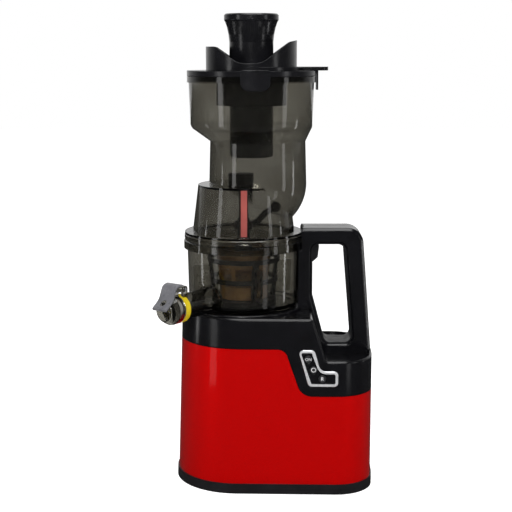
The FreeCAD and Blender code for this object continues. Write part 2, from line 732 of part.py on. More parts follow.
def make_handle(housing):
    half = number("handle_width") / 2
    wall = number("handle_wall")
    liner = number("liner_wall")
    fit = number("seat_fit")
    edge = number("handle_edge")
    outer = handle_wire(0)
    inner = handle_wire(wall)
    gap = gap_wire(liner)
    gap_wall = gap_wire(liner + wall * 0.7)
    clear = bowl_clearance(0.7)
    inner_clear = bowl_clearance(0.7 + wall)
    deck_right = number("deck_right")
    deck_left = Part.makeBox(200, 200, 200, Vector(deck_right - 200, -100, number("deck_height") - 200))
    slope = [
        (deck_right - 60, number("deck_height"), 0),
        (deck_right, number("deck_height"), 0),
        (number("tray_left"), number("tray_height"), 0),
        (number("tray_left") + 2.0, number("tray_height - tray_depth"), 0),
        (number("tray_left") + 2.0, 60.0, 0),
        (deck_right - 60, 60.0, 0),
    ]
    under = slab(rounded_wire(slope), -FAR, FAR).fuse(deck_left)
    trigger_depth = number("trigger_width") / 2 + 0.3
    pocket = slab(trigger_wire(0.3), -trigger_depth, trigger_depth)
    pocket = pocket.fuse(pocket.translated(Vector(-number("trigger_travel") - 0.3, 0, 0)))
    for label, side in (("handle_front_shell", -1), ("handle_rear_shell", 1)):
        low, high = sorted((0, side * half))
        shell = slab(outer, low, high)
        rims = []
        for rim in shell.Edges:
            box_of = rim.BoundBox
            on_face = abs(box_of.YMin - side * half) < 0.01 and box_of.YLength < 0.01
            above_foot = box_of.ZMax > number("tray_height") + 1
            if on_face and above_foot and box_of.XMax > number("handle_inner") + 1:
                rims.append(rim)
        shell = shell.makeChamfer(edge, rims)
        shell = shell.cut(slab(gap, -FAR, FAR)).cut(gap_bevel(liner, side, half, edge * 0.6))
        low_in, high_in = sorted((0, side * (half - wall)))
        cavity = slab(inner, low_in, high_in).cut(slab(gap_wall, -FAR, FAR)).cut(inner_clear)
        shell = shell.cut(clear).cut(cavity).cut(under).cut(pocket).cut(housing)
        piece(formed(label, shell), label)

    reach = half - number("liner_inset")
    band = slab(gap_wire(liner - fit), -reach, reach).cut(slab(gap_wire(0), -FAR, FAR)).cut(pocket)
    piece(formed("grip_liner", band), "grip_liner")

    depth = number("trigger_width") / 2
    trigger = slab(trigger_wire(0), -depth, depth)
    piece(formed("release_trigger", trigger), "release_trigger")


# Motor, gear train and electrics inside the base
def gear_wire(teeth, module, phase, height, grow=0.0):
    """A gear outline with flat-flanked teeth; grow widens it for a ring's cut-out."""
    pitch = teeth * module / 2
    play = number("gear_backlash")
    root = pitch - 1.2 * module + grow
    tip = pitch + 0.85 * module + grow
    thick = (math.pi * module - play) / 2 + grow
    step = 2 * math.pi / teeth
    points = []
    for tooth in range(teeth):
        middle = phase + tooth * step
        for radius, share in ((root, 1.42), (pitch, 1.0), (tip, 0.5)):
            points.append((radius, middle - thick * share / pitch / 2))
        for radius, share in ((tip, 0.5), (pitch, 1.0), (root, 1.42)):
            points.append((radius, middle + thick * share / pitch / 2))
    spots = [Vector(r * math.cos(a), r * math.sin(a), height) for r, a in points]
    return Part.makePolygon(spots + [spots[0]])


def gear(teeth, module, phase, x, low, width):
    wheel = Part.Face(gear_wire(teeth, module, phase, low)).extrude(Vector(0, 0, width))
    return wheel.translated(Vector(x, 0, 0))


def gearbox_wire(grow):
    """Three circles round the gear axes and the straight runs that touch them."""
    circles = (
        (0.0, number("drive_module") * DRIVE_TEETH / 2 + 3 + grow),
        (number("motor_axis"), number("motor_module") * MOTOR_TEETH / 2 + 17 + grow),
    )
    (first, big), (second, small) = circles
    lean = math.acos((big - small) / (second - first))
    top_left = Vector(first + big * math.cos(lean), big * math.sin(lean), 0)
    top_right = Vector(second + small * math.cos(lean), small * math.sin(lean), 0)
    low_left = Vector(top_left.x, -top_left.y, 0)
    low_right = Vector(top_right.x, -top_right.y, 0)
    return Part.Wire([
        Part.Arc(low_left, Vector(first - big, 0, 0), top_left).toShape(),
        Part.makeLine(top_left, top_right),
        Part.Arc(top_right, Vector(second + small, 0, 0), low_right).toShape(),
        Part.makeLine(low_right, low_left),
    ])


def plate_of(wire, low, height):
    face = Part.Face(wire)
    face.translate(Vector(0, 0, low))
    return face.extrude(Vector(0, 0, height))


def rod(radius, x, low, high, y=0.0):
    return Part.makeCylinder(radius, high - low, Vector(x, y, low))


def make_drive():
    fit = number("running_fit")
    motor_x = number("motor_axis")
    idler_x = number("idler_axis")
    shaft = number("motor_shaft_radius")
    low = number("motor_bottom")
    high = low + number("motor_height")
    radius = number("motor_radius")
    rotor_radius = number("rotor_radius")
    core_gap = number("air_gap")
    case_low = number("gearbox_bottom")
    wall = number("gearbox_wall")
    case_top = number("gearbox_top")
    width = number("gear_width")
    first_level = case_low + wall + 1.0
    second_level = first_level + width + 1.0
    bearing = number("bearing_width")
    plate_top = number("foot_height + plate_thickness")

    stator = rod(radius, motor_x, low + 10, high - 10)
    stator = stator.cut(rod(rotor_radius + core_gap, motor_x, low, high))
    piece(formed("motor_stator", stator), "motor_stator")

    caps = []
    for level, inner in ((low, low + 3), (high - 10, high - 10)):
        cap = rod(radius + 2, motor_x, level, level + 10)
        cap = cap.cut(rod(radius - 4, motor_x, inner, inner + 7))
        caps.append(cap.cut(rod(shaft + 6, motor_x, level - 1, level + 11)))
    lower = caps[0]
    for across in (-30.0, 30.0):
        lower = lower.fuse(rod(8.0, motor_x, plate_top, low, across))
    piece(formed("motor_end_caps", Part.makeCompound([lower, caps[1]])), "motor_end_caps")

    rotor = rod(rotor_radius, motor_x, low + 14, high - 14)
    rotor = rotor.fuse(rod(shaft, motor_x, low + 1, second_level - 2.0))
    rotor = rotor.fuse(gear(MOTOR_TEETH, number("motor_module"), 0.0, motor_x, first_level, width))
    piece(formed("motor_rotor", rotor), "motor_rotor")

    rings = []
    for level in (low + 1, high - bearing - 1):
        ring = rod(shaft + 6, motor_x, level, level + bearing)
        rings.append(ring.cut(rod(shaft + fit, motor_x, level - 1, level + bearing + 1)))
    piece(formed("motor_bearings", Part.makeCompound(rings)), "motor_bearings")

    idler_teeth_gap = math.pi / IDLER_TEETH
    idler = gear(IDLER_TEETH, number("motor_module"), idler_teeth_gap, idler_x, first_level, width)
    pinion = gear(IDLER_PINION_TEETH, number("drive_module"), 0.0, idler_x, first_level + width, width + 1.5)
    idler = idler.fuse(pinion)
    pin = number("motor_shaft_radius") - 1.0
    idler = idler.cut(rod(pin + fit, idler_x, 0, FAR))
    piece(formed("idler_gear", idler), "idler_gear")

    drive_radius = number("drive_shaft_radius")
    wheel = gear(DRIVE_TEETH, number("drive_module"), math.pi / DRIVE_TEETH, 0.0, second_level, width)
    wheel = wheel.cut(rod(drive_radius, 0, 0, FAR))
    piece(formed("drive_gear", wheel), "drive_gear")

    case = plate_of(gearbox_wire(wall), case_low, case_top - wall - case_low)
    case = case.cut(plate_of(gearbox_wire(0), case_low + wall, 100))
    case = case.cut(rod(shaft + 2, motor_x, 0, FAR)).cut(rod(number("bearing_outer"), 0, 0, 130))
    case = case.fuse(rod(number("bearing_outer") + 2, 0, case_low - bearing + 1, case_low + 1))
    case = case.cut(rod(number("bearing_outer"), 0, case_low - bearing + 2, 300))
    case = case.cut(rod(drive_radius + 1, 0, 0, FAR))
    for y in (-20.0, 20.0):
        case = case.fuse(rod(6.0, -4.0, plate_top, case_low, y))
    case = case.fuse(rod(radius + 2, motor_x, high, case_low + 1).cut(rod(radius - 3, motor_x, 0, FAR)))
    piece(formed("gearbox_case", case), "gearbox_case")

    cover = plate_of(gearbox_wire(wall), case_top - wall, wall)
    cover = cover.fuse(rod(number("bearing_outer") + 2.5, 0, case_top, number("deck_height") - 1))
    cover = cover.cut(rod(number("bearing_outer"), 0, 0, FAR)).cut(rod(pin, idler_x, 0, FAR))
    piece(formed("gearbox_cover", cover), "gearbox_cover")

    axle = rod(pin, idler_x, case_low + wall, case_top)
    piece(formed("idler_pin", axle), "idler_pin")

    bearings = []
    upper_level = number("deck_height") - 6 - bearing
    for level in (case_low - bearing + 2, case_top, upper_level):
        ring = rod(number("bearing_outer"), 0, level, level + bearing)
        bearings.append(ring.cut(rod(drive_radius + fit, 0, level - 1, level + bearing + 1)))
    piece(formed("drive_bearings", Part.makeCompound(bearings)), "drive_bearings")

    top = number("drive_shaft_top")
    flat = drive_radius * 0.8
    shaft_rod = rod(drive_radius, 0, case_low - 4, number("hub_top"))
    hexagon = [Vector(flat * math.cos(a), flat * math.sin(a), number("hub_top"))
               for a in (math.pi / 3 * side for side in range(6))]
    drive_end = Part.Face(Part.makePolygon(hexagon + [hexagon[0]]))
    drive_end = drive_end.extrude(Vector(0, 0, top - number("hub_top")))
    piece(formed("drive_shaft", shaft_rod.fuse(drive_end)), "drive_shaft")

    seal = rod(number("bearing_outer") + 2.9, 0, number("deck_height") - 1, number("deck_height") + 1)
    seal = seal.cut(rod(drive_radius + fit, 0, 0, FAR))
    piece(formed("shaft_seal", seal), "shaft_seal")

    level = plate_top + number("board_lift")
    left = -number("control_left")
    right = left + number("control_length")
    side = number("control_width") / 2
    thick = number("board_thickness")
    inset = number("post_inset")
    board = Part.makeBox(right - left, 2 * side, thick, Vector(left, -side, level))
    for x in (left + inset, right - inset):
        for y in (inset - side, side - inset):
            board = board.fuse(rod(number("post_radius"), x, plate_top, level + thick / 2, y))
    parts_on_board = [(8, -20, 16, 14, 12), (26, -18, 10, 22, 8), (12, 6, 22, 14, 16)]
    for x, y, length, across, tall in parts_on_board:
        board = board.fuse(Part.makeBox(length, across, tall, Vector(left + x, y, level + thick / 2)))
    piece(formed("control_board", board), "control_board")

    can_radius = number("capacitor_radius")
    can_x = number("capacitor_across")
    can_y = -number("capacitor_front")
    can_low = plate_top + number("clip_floor")
    can = rod(can_radius, can_x, can_low, can_low + number("capacitor_height"), can_y)
    clip = rod(can_radius + number("clip_wall"), can_x, plate_top, plate_top + number("clip_height"), can_y)
    clip = clip.cut(rod(can_radius, can_x, can_low, FAR, can_y))
    piece(formed("run_capacitor", can), "run_capacitor")
    piece(formed("capacitor_clip", clip), "capacitor_clip")

    point = gland_point()
    back = -front_face_y(point.x, point.z)
    wall_in = number("shell_wall")
    outside = number("gland_radius") + 3

    def ring_at(radius, start, length):
        return Part.makeCylinder(radius, length, Vector(point.x, start, point.z), Vector(0, 1, 0))

    gland = ring_at(number("gland_radius") - fit, back - wall_in - 3, 16)
    flange = ring_at(outside, back + 0.45, 2.5)
    nut = ring_at(outside, back - wall_in - 3.5, 3)
    bore = ring_at(number("gland_bore"), back - 30, 60)
    piece(formed("cord_gland", gland.fuse([flange, nut]).cut(bore)), "cord_gland")


def bored(radius, start, end, height, turn, across=0.0):
    """A round bar lying along X from start to end, turned about the drive axis."""
    bar = Part.makeCylinder(radius, end - start, Vector(start, across, height), Vector(1, 0, 0))
    return bar.rotate(Vector(), Vector(0, 0, 1), turn)


def across_bar(radius, x, height, length, turn):
    """A round bar lying across the spout."""
    bar = Part.makeCylinder(radius, length, Vector(x, -length / 2, height), Vector(0, 1, 0))
    return bar.rotate(Vector(), Vector(0, 0, 1), turn)


def turned_block(x, y, z, length, width, height, turn):
    block = Part.makeBox(length, width, height, Vector(x, y, z))
    return block.rotate(Vector(), Vector(0, 0, 1), turn)


def make_bowl():
    seat_top = "bowl_bottom - seat_fit * 2"
    ring = "deck_height + seat_ring_height"
    seat = turned("seat_ring", [
        ("bearing_outer + 3.2", "deck_height"),
        ("seat_ring_radius", "deck_height"),
        ("seat_ring_radius", ring + " - 0.8"),
        ("seat_ring_radius - 1.2", ring),
        ("bowl_radius_bottom + 1", ring),
        ("bowl_radius_bottom + 1", seat_top),
        ("bearing_outer + 3.2", seat_top),
    ])
    handle_foot = box("handle_foot", 40, "handle_width + seat_ring_height / 2", 10,
                      ("handle_inner + 1.2", "-handle_width / 2 - seat_ring_height / 4", "deck_height - 5"))
    piece(cut("bowl_seat", seat, handle_foot), "bowl_seat")

    shell = turned("bowl_shell", [
        ("drive_shaft_radius + 1", "bowl_bottom"),
        ("bowl_foot_radius", "bowl_bottom"),
        ("bowl_radius_bottom - 0.8", "bowl_bottom + 2.6"),
        ("bowl_radius_bottom", "bowl_bottom + 6"),
        ("bowl_radius_top", "bowl_top"),
        ("bowl_radius_top - bowl_wall", "bowl_top"),
        ("bowl_radius_bottom - bowl_wall", "bowl_bottom + 6.5"),
        ("bowl_radius_bottom - bowl_wall - 3", "bowl_bottom + bowl_floor"),
        ("hub_radius", "bowl_bottom + bowl_floor"),
        ("hub_radius", "hub_top"),
        ("drive_shaft_radius + 1", "hub_top"),
    ])
    turn = number("spout_angle")
    start = number("bowl_radius_bottom - 1.6")
    end = number("spout_reach")
    level = number("spout_height")
    radius = number("spout_radius")
    pin_x = number("spout_reach - cap_pin_inset")
    pin_z = number("spout_height + cap_pin_rise")
    half = number("cap_web") / 2
    root = bored(radius + number("spout_collar"), start, start + 4.0, level, turn)
    parts = [root]
    for side in (-1, 1):
        low = half if side > 0 else -half - 3.0
        foot = level + radius - 3
        parts.append(turned_block(pin_x - 3.5, low, foot, 7, 3, pin_z - foot, turn))
        ear = Part.makeCylinder(3.5, 3, Vector(pin_x, low, pin_z), Vector(0, 1, 0))
        parts.append(ear.rotate(Vector(), Vector(0, 0, 1), turn))
    spout_body = bored(radius, start, end, level, turn).fuse(parts)
    clear_of_seat = number(ring) + 0.4
    spout_body = spout_body.cut(Part.makeBox(400, 400, 50, Vector(-200, -200, clear_of_seat - 50)))
    spout = formed("spout_form", spout_body)
    hollow = bored(radius - number("spout_wall"), start - 6, end + 5, level, turn)
    hollow = hollow.fuse(across_bar(number("cap_pin_radius"), pin_x, pin_z, 60, turn))

    pulp_turn = number("pulp_angle")
    pulp_low = number("bowl_bottom + bowl_floor") - 1.0
    width = number("pulp_width")
    tall = number("pulp_height")
    reach = number("pulp_reach")
    wall = number("bowl_wall")
    inside = start - 1.5
    pulp_tube = turned_block(inside, -width / 2, pulp_low, reach - inside, width, tall, pulp_turn)
    pulp = formed("pulp_form", pulp_tube)
    pulp_hollow = turned_block(start - 8, -width / 2 + wall, pulp_low + wall, 80, width - 2 * wall,
                               tall - 2 * wall, pulp_turn)
    pivot_x = number("wiper_module") * (AUGER_TEETH + TRANSFER_TEETH) / 2
    pivot_top = number("ring_gear_bottom + ring_gear_height")
    pivot = rod(number("pivot_radius"), pivot_x, pulp_low, pivot_top)
    rest = rod(number("strainer_rest_outer"), 0, pulp_low, number("strainer_bottom"))
    rest = rest.cut(rod(number("strainer_rest_inner"), 0, 0, FAR))
    rest = rest.cut(rod(number("wiper_module") * TRANSFER_TEETH / 2 + 2.0, pivot_x, 0, FAR))
    pivot = formed("strainer_rest", Part.makeCompound([pivot, rest]))
    plug_x = number("plug_reach")
    plug_radius = number("plug_radius")
    plug_hole = rod(plug_radius, plug_x, 0, pulp_low + number("pulp_height"))
    plug_hole = plug_hole.rotate(Vector(), Vector(0, 0, 1), pulp_turn)
    outer = fuse("bowl_outer", shell, spout, pulp, pivot)
    inner = formed("bowl_ways", Part.makeCompound([hollow, pulp_hollow, plug_hole]))
    piece(cut("juicing_bowl", outer, inner), "juicing_bowl")

    floor_top = pulp_low + 1.0
    plug = rod(plug_radius - number("running_fit"), plug_x, number("bowl_bottom") + 0.3, floor_top)
    plug = plug.fuse(rod(plug_radius + 1.0, plug_x, floor_top, floor_top + number("plug_flange")))
    piece(formed("drain_plug", plug.rotate(Vector(), Vector(0, 0, 1), pulp_turn)), "drain_plug")

    piece(turned("bowl_gasket", [
        ("drive_shaft_radius + running_fit", "hub_top - 5"),
        ("drive_shaft_radius + 1", "hub_top - 5"),
        ("drive_shaft_radius + 1", "hub_top - 0.5"),
        ("drive_shaft_radius + running_fit", "hub_top - 0.5"),
    ]), "bowl_gasket")

    band_end = end - 2.0
    band_start = band_end - number("spout_band")
    band = bored(radius + number("band_thickness"), band_start, band_end, level, turn)
    band = band.cut(bored(radius + number("seat_fit") / 2, band_start - 1, band_end + 1, level, turn))
    for side in (-1, 1):
        low = half - 0.1 if side > 0 else -half - 3.1
        band = band.cut(turned_block(pin_x - 3.6, low, level, 7.2, 3.2, 30, turn))
    piece(formed("spout_ring", band), "spout_ring")
    pin = across_bar(number("cap_pin_radius") - 0.02, pin_x, pin_z, 2 * half + 7, turn)
    piece(formed("cap_pin", pin), "cap_pin")
    make_cap(turn, end, level, radius, pin_x, pin_z, half)


def make_cap(turn, end, level, radius, pin_x, pin_z, half):
    wall = number("cap_wall")
    rim = end - 0.8
    deep = number("cap_depth")
    outer = radius + wall
    bulb = Part.makeCylinder(outer, deep - 9, Vector(rim, 0, level), Vector(1, 0, 0))
    bulb = bulb.fuse(Part.makeCone(outer, outer - 5, 9, Vector(rim + deep - 9, 0, level), Vector(1, 0, 0)))
    end_ring = [edge for edge in bulb.Edges if edge.BoundBox.XMin > rim + deep - 0.1]
    bulb = bulb.makeFillet(3.5, end_ring)
    web_width = 2 * half - 0.6
    web = [
        (rim + 0.2, level + radius, 0),
        (rim + 0.2, pin_z - 3.0, 0),
        (pin_x + 1.0, pin_z - 3.0, 0),
        (pin_x + 1.0, pin_z + 3.0, 0),
        (pin_x + 9.0, pin_z + 3.6, 0),
        (rim + 7.0, level + outer - 1.0, 0),
    ]
    bulb = bulb.fuse(slab(rounded_wire(web), -web_width / 2, web_width / 2))
    knuckle = Part.makeCylinder(3.4, web_width, Vector(pin_x, -web_width / 2, pin_z), Vector(0, 1, 0))
    cup = Part.makeCylinder(radius + 0.2, deep - 9, Vector(rim - 0.1, 0, level), Vector(1, 0, 0))
    bulb = bulb.fuse(knuckle).cut(cup)
    pin_bore = number("cap_pin_radius + running_fit")
    bulb = bulb.cut(Part.makeCylinder(pin_bore, 60, Vector(pin_x, -30, pin_z), Vector(0, 1, 0)))
    bulb = bulb.rotate(Vector(), Vector(0, 0, 1), turn)
    piece(formed("spout_cap", bulb), "spout_cap")

    wide = number("lever_width") / 2
    top = [
        (pin_x + 1.5, pin_z + 3.7, 0),
        (pin_x + 8.0, pin_z + 6.6, 5.0),
        (pin_x + 16.0, pin_z + 4.8, 7.0),
        (pin_x + 22.0, pin_z - 9.0, 16.0),
        (pin_x + 32.5, pin_z - 16.5, 0),
        (pin_x + 31.7, pin_z - 18.7, 0),
        (pin_x + 20.4, pin_z - 10.6, 14.0),
        (pin_x + 14.4, pin_z + 2.8, 5.0),
        (pin_x + 8.0, pin_z + 4.3, 4.0),
        (pin_x + 1.5, pin_z + 3.45, 0),
    ]
    lever = slab(rounded_wire(top), -wide, wide)
    hole = Part.makeCylinder(3.2, 40, Vector(pin_x + 25.5, 0, pin_z - 30), Vector(0, 0, 1))
    lever = lever.cut(hole).rotate(Vector(), Vector(0, 0, 1), turn).cut(bulb)
    piece(formed("spout_lever", lever), "spout_lever")


# Strainer, wipers, transfer gear and auger inside the bowl
def make_pressing_set():
    module = number("wiper_module")
    level = number("ring_gear_bottom")
    tall = number("ring_gear_height")
    strainer_low = "strainer_bottom"
    slope = "(strainer_radius_top - strainer_radius_low) / (strainer_top - strainer_bottom)"

    frame = turned("strainer_body", [
        ("auger_core_low + 1", strainer_low),
        ("strainer_radius_low", strainer_low),
        ("strainer_radius_low", strainer_low + " + 4"),
        ("strainer_radius_top", "strainer_top"),
        ("strainer_radius_top - strainer_wall", "strainer_top"),
        ("strainer_radius_low - strainer_wall", strainer_low + " + 4"),
        ("strainer_radius_low - strainer_wall - 1", strainer_low + " + 2.2"),
        ("auger_core_low + 1", strainer_low + " + 2.2"),
    ])
    low = number("mesh_low")
    high = number("mesh_high")
    windows = []
    for index in range(8):
        window = Part.makeBox(60, 17.0, high - low, Vector(0, -8.5, low))
        window.rotate(Vector(), Vector(0, 0, 1), 45 * index)
        windows.append(window)
    middle = Part.makeCylinder(number("auger_core_low"), 100, Vector(0, 0, 180))
    opening = windows[0].multiFuse(windows[1:]).cut(middle)
    piece(cut("strainer_frame", frame, formed("strainer_windows", opening)), "strainer_frame")

    rise = number("strainer_top - strainer_bottom - 4")
    grow = number("strainer_radius_top - strainer_radius_low") / rise
    first = number("strainer_bottom") + 4

    def strainer_inside(height):
        return number("strainer_radius_low - strainer_wall") + grow * (height - first) - 0.02

    net_low = low - 2.0
    net_high = high + 2.0
    radii = strainer_inside(net_low), strainer_inside(net_high)
    thin = number("mesh_wall")
    net = Part.makeCone(*radii, net_high - net_low, Vector(0, 0, net_low))
    inner_net = Part.makeCone(radii[0] - thin, radii[1] - thin, net_high - net_low, Vector(0, 0, net_low))
    net = net.cut(inner_net)
    slots = []
    for index in range(MESH_SLOTS):
        slot = Part.makeBox(20, 0.9, high - low - 4, Vector(number("auger_reach_top") - 8, -0.45, low + 2))
        slots.append(slot.rotate(Vector(), Vector(0, 0, 1), 360.0 / MESH_SLOTS * (index + 0.5)))
    net = net.cut(Part.makeCompound(slots))
    piece(formed("strainer_mesh", net), "strainer_mesh")

    carrier = number("wiper_posts")
    outer = 36.0
    gear_ring = Part.makeCylinder(outer, tall, Vector(0, 0, level))
    teeth = Part.Face(gear_wire(RING_TEETH, module, math.pi / RING_TEETH, level - 1, 0.25))
    gear_ring = gear_ring.cut(teeth.extrude(Vector(0, 0, tall + 2)))
    lean = [
        (outer - 3.5, level + 1.0, 0),
        (outer, level + 1.0, 0),
        (outer + 4.0, number("wiper_top") - 1.0, 0),
        (outer + 1.8, number("wiper_top") - 1.0, 0),
        (outer - 3.5, level + 6.0, 0),
    ]
    posts = []
    blades = []
    for index in range(int(carrier)):
        spin = 360.0 / carrier * index + 20
        posts.append(slab(rounded_wire(lean), -3.5, 3.5).rotate(Vector(), Vector(0, 0, 1), spin))
    rings = []
    for radius, height in ((outer + 0.9, level + 24.0), (outer + 3.2, number("wiper_top") - 5)):
        ring = Part.makeCylinder(radius + 0.8, 5, Vector(0, 0, height))
        rings.append(ring.cut(Part.makeCylinder(radius - 1.4, 6, Vector(0, 0, height - 0.5))))
    wiper = gear_ring.fuse(posts + rings)
    for index in range(int(carrier)):
        spin = 360.0 / carrier * index + 20
        inner_edge = number("strainer_radius_top") - 1.0
        sheet_low = level + 8.0
        profile = [
            (number("strainer_radius_low") + 2.4, sheet_low, 0),
            (number("bowl_radius_bottom - bowl_wall") - 2.0, sheet_low, 0),
            (number("bowl_radius_bottom - bowl_wall") - 1.4, number("wiper_top") - 8, 0),
            (inner_edge + 1.5, number("wiper_top") - 8, 0),
        ]
        blade = slab(rounded_wire(profile), -0.8, 0.8).rotate(Vector(), Vector(0, 0, 1), spin)
        blades.append(blade)
    blade_set = Part.makeCompound(blades)
    wiper = wiper.cut(blade_set)
    piece(formed("wiper_frame", wiper), "wiper_frame")
    piece(formed("wiper_blades", blade_set), "wiper_blades")

    distance = module * (AUGER_TEETH + TRANSFER_TEETH) / 2
    small = gear(TRANSFER_TEETH, module, math.pi / TRANSFER_TEETH, distance, level, tall)
    small = small.cut(rod(number("pivot_radius + running_fit"), distance, 0, FAR))
    piece(formed("transfer_gear", small), "transfer_gear")

    neck = number("auger_core_low") - 1.6
    bore = number("hub_radius") + 0.3
    foot = gear(AUGER_TEETH, module, 0.0, 0.0, level, tall)
    foot = foot.fuse(rod(neck, 0, level + tall, number("auger_bottom") + 1))
    flights = []
    low_z = number("auger_bottom") + 3
    high_z = number("strainer_top") - 3
    turns = 1.75
    for start in (0, 180):
        helix = Part.makeHelix((high_z - low_z) / turns, high_z - low_z, number("auger_core_low"))
        helix.translate(Vector(0, 0, low_z))
        reach_low = number("auger_reach_low")
        flight_face = Part.makePolygon([
            Vector(8, 0, low_z - 2.2), Vector(reach_low, 0, low_z - 1.2), Vector(reach_low, 0, low_z + 1.2),
            Vector(8, 0, low_z + 2.2), Vector(8, 0, low_z - 2.2)])
        flight = Part.Wire(helix).makePipeShell([flight_face], True, True)
        flights.append(flight.rotate(Vector(), Vector(0, 0, 1), start))
    core = turned("auger_core", [
        (0, "auger_bottom"),
        ("auger_core_low", "auger_bottom"),
        ("auger_core_top", "strainer_top"),
        ("auger_core_top - 3", "strainer_top + 6"),
        ("auger_core_top - 3", "auger_top + 8"),
        ("auger_pin_radius", "auger_top + 12"),
        ("auger_pin_radius", "chamber_top + 7"),
        (0, "chamber_top + 7"),
    ])
    hollow = rod(bore, 0, 0, number("hub_top") + 1.5)
    hollow = hollow.fuse(rod(9.5, 0, number("hub_top"), number("drive_shaft_top") + 2))
    grown = fuse("auger_whole", core, formed("auger_flights", foot.fuse(flights)))
    piece(cut("auger", grown, formed("auger_hollow", hollow)), "auger")

    flat = number("drive_shaft_radius") * 0.8 + number("running_fit") * 3
    low = number("hub_top") + 2.0
    socket = rod(9.48, 0, low, number("drive_shaft_top") + 1.9)
    corners = [Vector(flat * math.cos(a), flat * math.sin(a), low - 1)
               for a in (math.pi / 3 * side for side in range(6))]
    hexagon = Part.Face(Part.makePolygon(corners + [corners[0]]))
    socket = socket.cut(hexagon.extrude(Vector(0, 0, number("drive_shaft_top") + 1.2 - low)))
    piece(formed("auger_socket", socket), "auger_socket")

    arm_low = number("auger_top") + 1
    knob_z = number("arm_height")
    reach = number("arm_reach") - number("arm_knob")
    inner = number("auger_core_top") - 3
    hub = rod(inner + 3.2, 0, arm_low - 3, arm_low + 5).cut(rod(inner + 0.02, 0, 0, FAR))
    joints = [Vector(inner + 1.5, 0, arm_low + 1), Vector(inner + 9, 3.5, arm_low + 5),
              Vector(inner + 17, 3.0, knob_z - 7), Vector(reach, 0, knob_z)]
    lengths = []
    for index, (a, b) in enumerate(zip(joints, joints[1:])):
        lengths.append(Part.makeCylinder(3.4, (b - a).Length, a, b - a))
        lengths.append(Part.makeSphere(3.4 if index < 2 else number("arm_knob"), b))
    arm = hub.fuse(lengths).cut(rod(inner + 0.02, 0, 0, FAR))
    piece(formed("feeding_arm", arm), "feeding_arm")


# Lid with its chamber and chute
def make_lid():
    chute_x = number("chute_offset_x")
    chute_y = number("chute_offset_y")
    deck = number("chamber_top")
    wall = number("lid_wall")
    plate = "collar_top - lid_wall"
    collar = turned("collar", [
        (0, "collar_top"),
        ("collar_radius - collar_step", "collar_top"),
        ("collar_radius - collar_step", "collar_top - 2.6"),
        ("collar_radius - collar_step / 2", "collar_top - 3.2"),
        ("collar_radius - collar_step / 2", "collar_top - 6.4"),
        ("collar_radius - collar_step", "collar_top - 7"),
        ("collar_radius - collar_step", "collar_top - 9"),
        ("collar_radius", "collar_top - 9.8"),
        ("collar_radius", "collar_bottom"),
        (0, "collar_bottom"),
    ])
    chamber = cone("chamber", "chamber_radius_low", "chamber_radius_top", "chamber_top - collar_top",
                   (0, 0, "collar_top"))
    ball = Part.makeSphere(number("chute_radius_low"), Vector(chute_x, chute_y, deck))
    base = number("collar_top")
    ball = ball.common(Part.makeBox(300, 300, deck - base, Vector(-150, -150, base)))
    chute = cone("chute", "chute_radius_low", "chute_radius_top", "chute_top - chamber_top",
                 ("chute_offset_x", "chute_offset_y", "chamber_top"))
    boss = cylinder("upper_bearing", "boss_radius - 2.4", "boss_height - 2", (0, 0, "chamber_top"))
    outer = fuse("lid_outer", collar, chamber, formed("chute_ball", ball), chute, boss)

    skirt = cylinder("collar_inside", "bowl_radius_top + seat_fit * 4",
                     "collar_top - lid_wall - collar_bottom", (0, 0, "collar_bottom"))
    throat = cone("throat", "chamber_radius_low - lid_wall + 0.2", "chamber_radius_top - lid_wall",
                  "chamber_top - collar_top", (0, 0, plate))
    inner_ball = Part.makeSphere(number("chute_radius_low") - wall, Vector(chute_x, chute_y, deck))
    feed_start = number("boss_radius") - 1.0
    feed_side = Part.makeBox(200, 400, deck + 1 - base, Vector(feed_start, -200, base))
    inner_ball = inner_ball.common(feed_side)
    shaft = cone("chute_inside", "chute_radius_low - lid_wall", "chute_radius_top - lid_wall",
                 "chute_top - chamber_top", ("chute_offset_x", "chute_offset_y", "chamber_top"))
    keep_boss = cylinder("keep_bearing", "boss_radius - 2.4", "boss_height - 2", (0, 0, "chamber_top"))
    journal = cylinder("journal_bore", "auger_pin_radius + running_fit", 30, (0, 0, "chamber_top - 22"))
    air = cut("chute_air", shaft, keep_boss)
    inner = fuse("lid_inner", skirt, throat, formed("feed_way", inner_ball), air)
    opened = cut("lid_open", outer, inner)
    piece(cut("chute_lid", opened, journal), "chute_lid")

    piece(turned("lid_gasket", [
        ("bowl_radius_top - bowl_wall", "bowl_top + seat_fit"),
        ("bowl_radius_top", "bowl_top + seat_fit"),
        ("bowl_radius_top", plate + " - seat_fit"),
        ("bowl_radius_top - bowl_wall", plate + " - seat_fit"),
    ]), "lid_gasket")

    low = number("collar_top")
    high = deck
    proud = number("strip_proud")
    radii = (number("chamber_radius_low"), number("chamber_radius_top"))
    skin = Part.makeCone(radii[0] + proud, radii[1] + proud, high - low, Vector(0, 0, low))
    skin = skin.cut(Part.makeCone(radii[0] + 0.01, radii[1] + 0.01, high - low, Vector(0, 0, low)))
    width = number("strip_width")
    strip = skin.common(Part.makeBox(width, 100, high - low - 3, Vector(1 - width / 2, -100, low + 1)))
    piece(formed("alignment_strip", strip), "alignment_strip")

    radius = number("boss_radius")
    tall = number("boss_height")
    lobe = Part.makeBox(16, 14, tall, Vector(-16, -7, deck + 0.02))
    cap = rod(radius, 0, deck + 0.02, deck + tall).fuse(lobe)
    cap = cap.cut(rod(radius - 2.35, 0, deck - 1, deck + tall - 1.95))
    cap = cap.cut(Part.makeBox(4, 10, tall - 4, Vector(-14, -5, deck - 1)))
    piece(formed("bearing_cap", cap), "bearing_cap")


